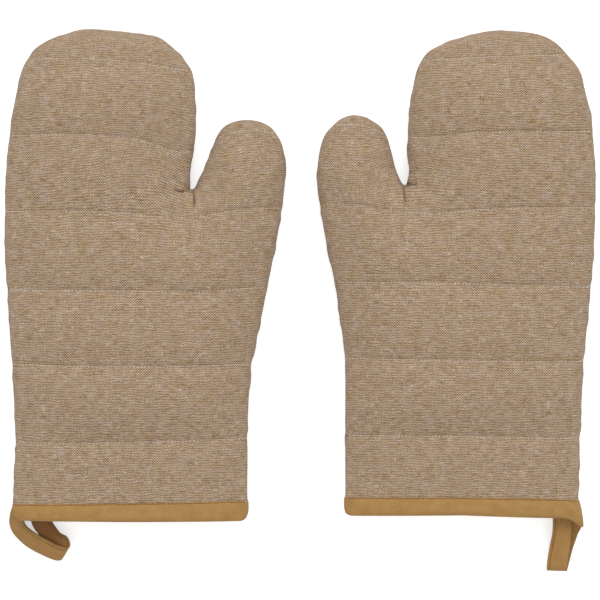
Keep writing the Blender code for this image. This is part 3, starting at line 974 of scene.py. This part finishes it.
def linear(red, green, blue):
    """A colour as it shows on a screen, from 0 to 255, for a shader."""
    shares = [channel / 255 for channel in (red, green, blue)]
    return tuple(s / 12.92 if s <= 0.04045 else ((s + 0.055) / 1.055) ** 2.4 for s in shares)


def woven_check():
    """Plain weave of ochre warp and off-white weft, with slubs, flecks, a soft mottle and painted shade in
    the crotch creases.
    """
    nodes = Nodes(bpy.data.materials.new("woven_check"))
    times, noise, combine = nodes.times, nodes.noise, nodes.combine
    u, v = nodes.cloth_axes()
    sway = noise(combine(times(u, 70), times(v, 70)))
    sway = times(nodes.math("SUBTRACT", sway, 0.5), 4.0)
    warp = nodes.add(times(u, 1 / WARP_PITCH), sway)
    weft = nodes.add(times(v, 1 / WEFT_PITCH), times(sway, 0.9))
    rib = nodes.wave(weft)
    over = times(nodes.wave(warp), rib)
    slub = noise(combine(times(u, 190), weft), 1.0)
    streak = noise(combine(warp, times(v, 170)), 1.0)
    grain = noise(combine(warp, weft, 5.0), 0.0)
    cloud = noise(combine(times(u, 110), times(v, 130)), 3.0)
    fleck = noise(combine(times(u, 260), times(weft, 0.8)), 2.0)
    weave = nodes.add(times(over, 0.70), times(rib, 0.28))
    share = nodes.mixture(weave, ((slub, 1.35), (streak, 0.6), (grain, 0.8), (cloud, 0.5)))
    hue = noise(combine(times(u, 120), times(v, 210), 9.0), 3.0, 0.6)
    hue = nodes.spread(hue, 0.26, 0.74)
    dark = nodes.blend(hue, linear(116, 84, 48), linear(122, 96, 70))
    light = nodes.blend(hue, linear(193, 166, 129), linear(201, 183, 167))
    colour = nodes.blend(share, dark, light)
    colour = nodes.blend(nodes.spread(fleck, 0.62, 0.74, 0.0, 0.65), colour, linear(216, 208, 199))
    # Painted shade: where the fold value marks a crease, the cloth is mixed towards a dark brown, standing
    # in for the shade that falls in the fold.
    colour = nodes.blend(times(nodes.value_of("fold"), 0.70), colour, linear(104, 70, 38))
    height = nodes.add(times(nodes.math("ABSOLUTE", over), 0.7), slub)
    values = {"Roughness": 0.92, "Specular IOR Level": 0.2, "Sheen Weight": 0.08, "Sheen Roughness": 0.6}
    return nodes.finish(colour, values, height, 0.00022, 0.8)


def plain_lining():
    """A fine plain weave of ecru cotton."""
    nodes = Nodes(bpy.data.materials.new("plain_lining"))
    times, noise, combine = nodes.times, nodes.noise, nodes.combine
    u, v = nodes.cloth_axes()
    warp, weft = times(u, 1 / LINING_PITCH), times(v, 1 / LINING_PITCH)
    over = times(nodes.wave(warp), nodes.wave(weft))
    cloud = noise(combine(times(u, 60), times(v, 60)), 3.0)
    slub = noise(combine(times(u, 110), weft), 1.0)
    share = nodes.spread(nodes.add(times(over, 0.25), nodes.add(cloud, slub)), 0.5, 1.5)
    colour = nodes.blend(share, linear(205, 193, 170), linear(228, 219, 200))
    return nodes.finish(colour, {"Roughness": 0.92, "Specular IOR Level": 0.2}, over, 0.00012, 0.6)


def cotton_batt():
    """Matted off-white fibres."""
    nodes = Nodes(bpy.data.materials.new("cotton_batt"))
    fibres = nodes.noise(nodes.place(900.0, 260.0, 900.0), 4.0, 0.65)
    tufts = nodes.noise(nodes.place(140.0, 140.0, 140.0), 3.0)
    share = nodes.spread(nodes.add(fibres, tufts), 0.7, 1.3)
    colour = nodes.blend(share, linear(214, 208, 196), linear(238, 235, 227))
    return nodes.finish(colour, {"Roughness": 1.0, "Specular IOR Level": 0.1}, fibres, 0.0006, 0.8)


def tape(name, dark, light, inner=None):
    """A dense twill tape, with fine slanting ribs and a soft wear, and with painted shade on its inner side.
    """
    nodes = Nodes(bpy.data.materials.new(name))
    times, noise, combine = nodes.times, nodes.noise, nodes.combine
    u, v = nodes.cloth_axes()
    slant = nodes.add(times(u, 1 / TWILL_RUN), times(v, 1 / TWILL_RISE))
    rib = nodes.math("SINE", times(slant, 2 * math.pi))
    grain = noise(combine(times(u, 1400), times(v, 1400)), 2.0)
    cloud = noise(combine(times(u, 130), times(v, 200)), 3.0)
    share = nodes.mixture(times(rib, 0.10), ((grain, 0.9), (cloud, 0.9)))
    colour = nodes.blend(share, dark, light)
    # Painted shade: the tape's inner side is mixed towards this darker colour by the mesh's inner value.
    if inner:
        shadowed = nodes.blend(share, inner, tuple(1.25 * channel for channel in inner))
        colour = nodes.blend(nodes.value_of("inner"), colour, shadowed)
    height = nodes.add(times(rib, 0.5), grain)
    values = {"Roughness": 0.86, "Specular IOR Level": 0.25, "Sheen Weight": 0.08}
    return nodes.finish(colour, values, height, 0.00012, 0.6)


def thread(name, dark, light, cloth=None):
    """Twisted sewing thread, which here and there sinks into its cloth and takes its colour."""
    nodes = Nodes(bpy.data.materials.new(name))
    share = nodes.spread(nodes.noise(nodes.place(2200.0, 900.0, 900.0), 2.0), 0.3, 0.7)
    colour = nodes.blend(share, dark, light)
    if cloth:
        sunk = nodes.spread(nodes.noise(nodes.place(150.0, 60.0, 60.0), 2.0), 0.52, 0.70, 0.0, 0.80)
        colour = nodes.blend(sunk, colour, cloth)
    return nodes.finish(colour, {"Roughness": 0.6, "Specular IOR Level": 0.35})


MATERIALS = {
    "shell": woven_check(),
    "lining": plain_lining(),
    "wadding": cotton_batt(),
    "binding": tape("twill_tape", linear(150, 110, 57), linear(187, 149, 92)),
    # The loop's third colour is the painted shade on its inner side.
    "loop": tape("folded_tape", linear(147, 107, 56), linear(182, 143, 88), linear(118, 79, 42)),
    "quilting": thread(
        "quilting_thread", linear(188, 175, 157), linear(220, 210, 193), linear(160, 138, 114)
    ),
    "edging": thread("edging_thread", linear(100, 56, 6), linear(136, 84, 14)),
}


def finished(obj, mitt, material, node=None, root=None):
    """Gives a piece its material, hides the part of the frame that it stands for, and hangs it on the body
    it rides on.

    A piece of the loop has a root instead. It is then only fixed in place where it stands, and the root is
    not used.
    """
    obj.data.materials.clear()
    obj.data.materials.append(MATERIALS[material])
    if node:
        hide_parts(f"{mitt.name}_{node}")
    if root:
        start, end = root
        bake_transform(obj)
        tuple(start)
        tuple(end)
    else:
        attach(obj, f"{mitt.name}_mitt")


def set_cloth_places(mesh, places):
    """Writes each vertex's place on the cloth as the mesh's UV map, in metres."""
    layer = mesh.uv_layers.new(name="cloth")
    corners = np.empty(len(mesh.loops), np.int32)
    mesh.loops.foreach_get("vertex_index", corners)
    layer.data.foreach_set("uv", np.asarray(places, np.float32)[corners].ravel())


def set_values(mesh, name, values):
    """Writes a number for each vertex that a material reads by this name."""
    layer = mesh.attributes.new(name=name, type="FLOAT", domain="POINT")
    layer.data.foreach_set("value", np.asarray(values, np.float32))


# The quilted shells


def swollen(shell, pinned):
    """Lets the cloth of a shell swell between its pinned stitches, outwards and only so far."""
    rest = coordinates(shell.data)
    ways = np.empty(rest.size)
    shell.data.vertex_normals.foreach_get("vector", ways)
    ways = ways.reshape(-1, 3)
    copy = linked("swelling", shell.data.copy())
    group = copy.vertex_groups.new(name="sewn")
    group.add([int(index) for index in np.where(pinned)[0]], 1.0, "REPLACE")
    cloth = copy.modifiers.new("cloth", "CLOTH")
    for name, value in CLOTH_SETTINGS.items():
        setattr(cloth.settings, name, value)
    cloth.settings.vertex_group_mass = "sewn"
    cloth.settings.effector_weights.gravity = 0.0
    cloth.collision_settings.use_collision = False
    cloth.point_cache.frame_start = 1
    cloth.point_cache.frame_end = SWELL_FRAMES
    scene = bpy.context.scene
    for number in range(1, SWELL_FRAMES + 1):
        scene.frame_set(number)
    move = coordinates(evaluated(copy).data) - rest
    scene.frame_set(1)
    bpy.data.objects.remove(copy, do_unlink=True)
    rise = (move * ways).sum(1)
    drift = move - rise[:, None] * ways
    length = lengths(drift)
    drift *= (np.minimum(length, SWELL_DRIFT) / np.maximum(length, SMALL))[:, None]
    rise = SWELL_CAP * np.tanh(np.maximum(rise, -SWELL_SINK) / SWELL_CAP)
    set_coordinates(shell.data, rest + drift + rise[:, None] * ways)


def face_outwards(mesh, side):
    """Turns the shell's faces so that they look out of the mitt."""
    total = sum(polygon.normal.z * polygon.area for polygon in mesh.polygons)
    if (total > 0) != (side == "back"):
        mesh.flip_normals()


def join_into_quads(mesh):
    work = bmesh.new()
    work.from_mesh(mesh)
    limit = math.radians(QUAD_ANGLE)
    bmesh.ops.join_triangles(work, faces=work.faces, angle_face_threshold=limit, angle_shape_threshold=limit)
    work.to_mesh(mesh)
    work.free()


def sewn_detail(form, side, plane, distance):
    """How far the shell rises: valleys at the stitching, puckers beside it and the creases."""
    sign = -1.0 if side == "back" else 1.0
    inside = smoothstep((distance - SEAM_PLAIN_REACH) / SEAM_DETAIL_REACH)
    loft = smoothstep((plane[:, 1] - BINDING_WIDTH) / WALL_RAMP)
    away = away_from_quilting(form.mitt, plane[:, 0], plane[:, 1])
    uneven = form.read(form.wobble, plane)
    pull = STITCH_PULL * bell(away, STITCH_PULL_WIDTH)
    generator = np.random.default_rng(form.mitt.seed + (side == "palm"))
    turn = 2 * math.pi * plane[:, 0]
    phase = turn / PUCKER_PITCH + PUCKER_SWAY * np.sin(turn / PUCKER_SWAY_PITCH)
    phase += PUCKER_WANDER * uneven + generator.uniform(0, 6)
    pucker = PUCKER_DEPTH * np.sin(phase) * np.exp(-np.abs(away) / PUCKER_REACH)
    wobble = WOBBLE_DEPTH * uneven * smoothstep(np.abs(away) / WOBBLE_REACH)
    change = sign * inside * loft * (pull + pucker + wobble)
    if side == "back":
        change -= CREASE_DEPTH * form.crease_marks(plane) * smoothstep(distance / CREASE_SEAM_REACH)
    return change


def add_shell(form, side):
    mitt = form.mitt
    net = net_of(form, SHELL_STEP, SHELL_RINGS, SHELL_ROWS, form.creases if side == "back" else [])
    points = face_points(form, side, net, OUTER_FACE)
    fullness = EDGE_FULLNESS * bell(net.distance, EDGE_FULLNESS_REACH)
    points[:, :2] -= fullness[:, None] * net.inward
    points[: net.rings, :2] += (SEAM_BITE + EDGE_FULLNESS) * net.inward[: net.rings]
    shell = new_object(mitt, f"quilted_{side}", points, net.triangles)
    face_outwards(shell.data, side)
    join_into_quads(shell.data)
    away = np.abs(away_from_quilting(mitt, net.points[:, 0], net.points[:, 1]))
    pinned = (away < PIN_REACH) | (net.distance < PIN_SEAM_REACH) | (net.points[:, 1] < BINDING_WIDTH)
    swollen(shell, pinned)
    finer = shell.modifiers.new("finer", "SUBSURF")
    finer.levels = 1
    finer.render_levels = 1
    apply_modifiers(shell)
    points = coordinates(shell.data)
    plane = in_plane(mitt, points)[:, :2]
    points[:, 2] += sewn_detail(form, side, plane, distance_from(plane, form.seam))
    if side == "palm":
        points[:, 2] = np.maximum(points[:, 2], 0.0)
    set_coordinates(shell.data, points)
    # The crease marks, stored as the fold value, paint shade into the shell's colour.
    set_values(shell.data, "fold", form.crease_marks(plane) if side == "back" else np.zeros(len(plane)))
    set_cloth_places(shell.data, form.cloth_places(plane, side))
    thickness = shell.modifiers.new("thickness", "SOLIDIFY")
    thickness.thickness = SHELL_THICKNESS
    thickness.offset = -1.0
    thickness.use_even_offset = False
    apply_modifiers(shell)
    shell.data.shade_smooth()
    finished(shell, mitt, "shell", f"{side}_shell")
    return shell


# The layers inside


def add_layer(form, side, name, material, step):
    """A layer as a closed solid between two faces of the wall."""
    net = net_of(form, step, LAYER_RINGS, LAYER_ROWS)
    faces = []
    for face in LAYER_FACES[material]:
        points = face_points(form, side, net, face)
        if face == WADDING_OUTER_FACE and side == "back":
            points[:, 2] += -WADDING_SINK
            points[:, 2] -= CREASE_PRESS * form.crease_press(net.points)
        elif face == WADDING_OUTER_FACE:
            points[:, 2] += WADDING_SINK
        faces.append(points)
    count = len(net.points)
    polygons = list(net.triangles)
    polygons += [tuple(count + corner for corner in reversed(face)) for face in net.triangles]
    polygons += [(end, start, count + start, count + end) for start, end in net.rim]
    layer = new_object(form.mitt, f"{side}_{name}", np.vstack(faces), polygons)
    layer.data.set_sharp_from_angle(angle=math.radians(LAYER_SHARP_ANGLE))
    set_cloth_places(layer.data, np.vstack([net.points, net.points]))
    finished(layer, form.mitt, material, f"{side}_{material}")
    return layer


# The binding


def mouth_ring(form, face, along):
    """The closed line of a face round the mouth, over the back and then under the palm."""
    start, end = form.seam[0, 0], form.seam[-1, 0]
    near = np.array(MOUTH_END_PLACES)
    inner = np.linspace(start + MOUTH_END, end - MOUTH_END, MOUTH_POINTS)
    share = (np.concatenate([start + near, inner, end - near[::-1]]) - start) / (end - start)
    low, high = (
        np.interp(along, side[:, 1], side[:, 0])
        for side in (form.seam[:MOUTH_SEAM_POINTS], form.seam[::-1][:MOUTH_SEAM_POINTS])
    )
    across = low + share * (high - low)
    distance = np.minimum(across - low, high - across)
    distance[[0, -1]] = 0.0
    points = np.stack([across, np.full_like(across, along)], axis=1)
    inset = face_inset(face, distance) * np.where(share < 0.5, 1.0, -1.0)
    back, palm = (
        np.stack([across + inset, face_heights(form, side, points, distance, face)], axis=1)
        for side in ("back", "palm")
    )
    ring = np.vstack([back, palm[-2:0:-1]])
    ring[[0, len(across) - 1], 1] = SEAM_HEIGHT
    return ring


def ring_normals(ring):
    """The way out of a closed line at each of its points."""
    return turned_left(unit(np.roll(ring, -1, axis=0) - np.roll(ring, 1, axis=0)))


def end_snugness(ring):
    """How much of its offset the tape keeps, less where it turns round the ends of the mouth."""
    gap = np.minimum(ring[:, 0] - ring[:, 0].min(), ring[:, 0].max() - ring[:, 0])
    return SNUG_SHARE + (1 - SNUG_SHARE) * smoothstep(gap / SNUG_REACH)


def loop_end_bulge(mitt, points):
    """How far the tape bulges out at the mouth's end over the loop's roots."""
    share = np.clip((BULGE_REACH - points[:, 0] - CUFF_HALF) / BULGE_REACH, 0.0, 1.0)
    reach = np.clip(1 - points[:, 1] / BINDING_WIDTH, 0.0, 1.0)
    return mitt.loop_bulge * smoothstep(share) * reach**BULGE_POWER


def tube_faces(rows, count, first=0, closed=False):
    """The faces between rows that have this many points each."""
    faces = []
    for row in range(rows if closed else rows - 1):
        low, high = first + row * count, first + (row + 1) % rows * count
        for step in range(count):
            after = (step + 1) % count
            faces.append((low + step, low + after, high + after, high + step))
    return faces


def add_binding(form):
    mitt = form.mitt
    generator = np.random.default_rng(mitt.seed + 5)
    around = travel(mouth_ring(form, OUTER_FACE, BINDING_WIDTH))
    ripple = sum(
        generator.uniform(*RIPPLE_SHARES) * np.sin(2 * math.pi * around / pitch + generator.uniform(0, 6))
        for pitch in RIPPLE_PITCHES
    )
    rows = []
    for which, along, offset in BINDING_SECTION:
        level = min(max(along, 0.0), BINDING_WIDTH)
        outer, inner = (mouth_ring(form, face, level) for face in (OUTER_FACE, INNER_FACE))
        if which == "middle":
            ring = (outer + inner) / 2
        else:
            base = outer if which == "outer" else inner
            way = ring_normals(base) if which == "outer" else -ring_normals(base)
            swell = RIPPLE_DEPTH * ripple * (offset > RIPPLE_LEAST_OFFSET)
            ring = base + ((offset + swell) * end_snugness(base))[:, None] * way
        flat = np.stack([ring[:, 0], np.full(len(ring), max(along, 0.0))], axis=1)
        shift = corner_shift(mitt, flat, binding=True)
        rows.append(np.stack([ring[:, 0] - loop_end_bulge(mitt, flat), along + shift, ring[:, 1]], axis=1))
    steps = [np.median(lengths(row - before)) for before, row in zip(rows, rows[1:])]
    places = [np.stack([around, np.full_like(around, run)], axis=1) for run in np.cumsum([0.0, *steps])]
    points = np.vstack(rows)
    points[:, 2] = np.maximum(points[:, 2], BINDING_LEAST_HEIGHT)
    binding = new_object(mitt, "cuff_tape", points, tube_faces(len(rows), len(around), closed=True))
    set_cloth_places(binding.data, np.vstack(places))
    finished(binding, mitt, "binding", "cuff_binding")
    return binding


# The hanging loop


def loop_frames(mitt):
    """The middle line of the loop's tape, the way across it and the way out of its face."""
    edges = []
    for edge in zip(*mitt.loop_edges):
        line = []
        for *pixel, millimetres in edge:
            height = millimetres / 1000
            nearness = (CAMERA_HEIGHT - height) / (CAMERA_HEIGHT - SEAM_HEIGHT)
            pixel = [PICTURE_MIDDLE + nearness * (place - PICTURE_MIDDLE) for place in pixel]
            line.append((*from_picture(mitt, pixel), height))
        edges.append(smooth_curve(line, LOOP_CURVE_STEPS))
    middle = (edges[0] + edges[1]) / 2
    across = edges[1] - edges[0]
    width = np.clip(lengths(across), LOOP_LEAST_WIDTH, LOOP_WIDTH)
    across = unit(across) * width[:, None]
    return middle, across, unit(np.cross(unit(np.gradient(middle, axis=0)), across))


def add_loop(form):
    mitt = form.mitt
    middle, across, normal = loop_frames(mitt)
    travelled = travel(middle)
    wide, thick = np.array(LOOP_SECTION).T
    sideways = (mitt.loop_open_side * wide / 2)[:, None] * across[:, None]
    points = (middle[:, None] + sideways + (thick * LOOP_TAPE)[:, None] * normal[:, None]).reshape(-1, 3)
    points[:, 2] = np.maximum(points[:, 2], LOOP_LEAST_HEIGHT)
    count = len(LOOP_SECTION)
    faces = [tuple(range(count)), tuple(reversed(range(len(points) - count, len(points))))]
    loop = new_object(mitt, "loop_tape", points, faces + tube_faces(len(middle), count))
    round_places = travel(np.array(LOOP_SECTION)) * LOOP_WIDTH / 2
    places = np.stack([np.repeat(travelled, count), np.tile(round_places, len(middle))], axis=1)
    set_cloth_places(loop.data, places)
    # Painted shade on the tape's inner side: full by the cuff, lighter towards the fold, and as strong as
    # the mitt's loop_shade.
    inner_side = np.clip(-INNER_SIDE_RISE * mitt.thumb_side * thick, 0.0, 1.0)
    from_fold = np.abs(travelled / travelled[-1] - LOOP_FOLD_SHARE)
    deep = FOLD_LIGHT + (1 - FOLD_LIGHT) * smoothstep((from_fold - FOLD_SHADE_SHARE) / FOLD_FADE_SHARE)
    set_values(loop.data, "inner", mitt.loop_shade * np.outer(deep, inner_side).ravel())
    root = tuple(
        [mitt.cuff_place[0], mitt.cuff_place[1] + along, LOOP_ROOT_HEIGHT]
        for along in (LOOP_BEND_START, -LOOP_BEND_END)
    )
    finished(loop, mitt, "loop", "hanging_loop", root)
    stitches = []
    places = np.arange(LOOP_STITCH_MARGIN, travelled[-1] - LOOP_STITCH_MARGIN, LOOP_STITCH)
    half = LOOP_STITCH_SHARE * LOOP_STITCH
    for side in (1, -1):
        beside = mitt.loop_open_side * across * LOOP_STITCH_PLACE_SHARE / 2
        line = middle + beside + side * normal * (LOOP_STITCH_HEIGHT_SHARE * LOOP_TAPE)
        starts, ends = (read_along(places + shift, travelled, line) for shift in (-half, half))
        stitches += zip(starts, ends, read_along(places, travelled, side * normal))
    add_thread("loop_stitches", mitt, stitches, "edging", root)


# Thread


def add_thread(name, mitt, stitches, material, root=None):
    """One mesh of short raised stitches, each given by its two ends and the way out of the cloth."""
    vertices, faces = [], []
    angles = [2 * math.pi * corner / STITCH_SIDES for corner in range(STITCH_SIDES)]
    corners = [(math.cos(angle), math.sin(angle)) for angle in angles]
    for start, end, lift in stitches:
        run = end - start
        lift = lift / np.linalg.norm(lift)
        wide = np.cross(run, lift)
        wide /= np.linalg.norm(wide)
        first = len(vertices)
        for share, size in STITCH_SHAPE:
            height = THREAD_LIFT_SHARE - THREAD_DIP_SHARE * max(abs(share) - THREAD_LEVEL_SHARE, 0)
            middle = (start + end) / 2 + share * run + lift * THREAD_RADIUS * height
            vertices += [
                middle + THREAD_RADIUS * size * (x * wide + THREAD_FLATNESS * y * lift) for x, y in corners
            ]
        faces += tube_faces(len(STITCH_SHAPE), STITCH_SIDES, first)
        faces.append(tuple(reversed(range(first, first + STITCH_SIDES))))
        faces.append(tuple(range(len(vertices) - STITCH_SIDES, len(vertices))))
    made = new_object(mitt, name, np.array(vertices), faces)
    finished(made, mitt, material, root=root)


def surface_of(obj, mitt):
    """The object's surface in the mitt's own plane, to lay stitches on."""
    points = in_plane(mitt, coordinates(obj.data))
    return BVHTree.FromPolygons([Vector(p) for p in points], [tuple(f.vertices) for f in obj.data.polygons])


def laid_stitches(surface, line, pitch, fill, side, generator):
    """Stitches along a line of the plane, dropped onto the surface from above or below."""
    line = resampled(line, pitch)
    up = 1 if side == "back" else -1
    found = []
    for start, end in zip(line, line[1:]):
        middle, run = (start + end) / 2, (end - start) * fill / 2
        ends, ways = [], []
        for point in (middle - run, middle + run):
            point = point + generator.normal(0.0, STITCH_JITTER, 2)
            hit, way, _, _ = surface.ray_cast(Vector((*point, DROP_HEIGHT * up)), Vector((0, 0, -up)))
            if hit is not None:
                ends.append(np.array(hit))
                ways.append(np.array(way))
        if len(ends) == 2:
            lift = ways[0] + ways[1]
            found.append((*ends, -lift if lift[2] * up < 0 else lift))
    return found


def add_quilting(form, side, shell):
    mitt = form.mitt
    surface = surface_of(shell, mitt)
    generator = np.random.default_rng(mitt.seed + 31)
    stitches = []
    across = np.linspace(-QUILT_PATH_HALF, QUILT_PATH_HALF, QUILT_PATH_POINTS)
    for line in range(QUILT_LINES):
        path = np.stack([across, quilt_line(mitt, line, across)], axis=1)
        inside = is_inside(path, form.seam) & (distance_from(path, form.seam) > PIN_SEAM_REACH)
        starts = np.where(inside & ~np.roll(inside, 1))[0]
        ends = np.where(inside & ~np.roll(inside, -1))[0]
        for first, last in zip(starts, ends):
            if last - first > QUILT_LEAST_RUN:
                part = path[first : last + 1]
                stitches += laid_stitches(surface, part, QUILT_STITCH, QUILT_STITCH_FILL, side, generator)
    add_thread(f"{side}_quilting", mitt, stitches, "quilting")


def add_binding_stitches(form, binding):
    mitt = form.mitt
    surface = surface_of(binding, mitt)
    generator = np.random.default_rng(mitt.seed + 47)
    start, end = form.seam[0, 0] + BINDING_STITCH_MARGIN, form.seam[-1, 0] - BINDING_STITCH_MARGIN
    across = np.linspace(start, end, BINDING_PATH_POINTS)
    path = np.stack([across, np.full_like(across, BINDING_STITCH_LINE)], axis=1)
    path[:, 1] += corner_shift(mitt, path, binding=True)
    stitches = []
    for side in ("back", "palm"):
        stitches += laid_stitches(surface, path, BINDING_STITCH, BINDING_STITCH_FILL, side, generator)
    add_thread("cuff_stitches", mitt, stitches, "edging")


for mitt in (LEFT, RIGHT):
    form = Form(mitt)
    for side in ("back", "palm"):
        batt = add_layer(form, side, "batt", "wadding", BATT_STEP)
        cloth = add_layer(form, side, "inner_cloth", "lining", INNER_CLOTH_STEP)
        add_quilting(form, side, add_shell(form, side))
    add_binding_stitches(form, add_binding(form))
    add_loop(form)


# The stage


def add_floor():
    bpy.ops.mesh.primitive_plane_add(size=FLOOR_SIZE, location=(0.0, 0.0, -FLOOR_DROP))
    floor = bpy.context.object
    floor.name = "floor"
    nodes = Nodes(bpy.data.materials.new("pale_floor"))
    tree = nodes.tree
    tree.nodes.remove(tree.nodes["Principled BSDF"])
    pale = nodes.node("ShaderNodeBsdfDiffuse", {}, {"Color": (FLOOR_SHADE, FLOOR_SHADE, FLOOR_SHADE, 1.0)})
    strength = nodes.times(nodes.seen_ray(), FLOOR_GLOW)
    glow = nodes.node("ShaderNodeEmission", {}, {"Color": (1, 1, 1, 1), "Strength": strength})
    total = nodes.node("ShaderNodeAddShader", {}, {0: pale, 1: glow})
    tree.links.new(total, tree.nodes["Material Output"].inputs["Surface"])
    floor.data.materials.append(nodes.owner)


def add_world():
    world = bpy.data.worlds.new("studio")
    bpy.context.scene.world = world
    nodes = Nodes(world)
    background = nodes.tree.nodes["Background"].inputs
    background["Color"].default_value = (1.0, 1.0, 1.0, 1.0)
    strength = nodes.spread(nodes.seen_ray(), 0.0, 1.0, WORLD_LIGHT, 1.0)
    nodes.tree.links.new(strength, background["Strength"])


def add_sun(name, place, width, strength):
    """A soft light from far away in the direction of the place, this many degrees wide."""
    sun = bpy.data.lights.new(name, "SUN")
    sun.angle = math.radians(width)
    sun.energy = strength
    linked(name, sun).rotation_euler = Vector(place).to_track_quat("Z", "Y").to_euler()


def add_camera():
    camera = bpy.data.cameras.new("photo_view")
    camera.lens = LENS_MM
    camera.sensor_width = SENSOR_MM
    camera.sensor_fit = "HORIZONTAL"
    camera.clip_end = 20.0
    made = linked("photo_view", camera)
    made.location = (0.0, 0.0, CAMERA_HEIGHT)
    bpy.context.scene.camera = made


add_floor()
add_world()
add_sun("key", (0.05, 1.25, 1.00), 40.0, 1.42)
add_sun("fill", (0.05, -0.55, 1.00), 70.0, 0.46)
add_camera()
bpy.context.scene.view_settings.view_transform = "Standard"
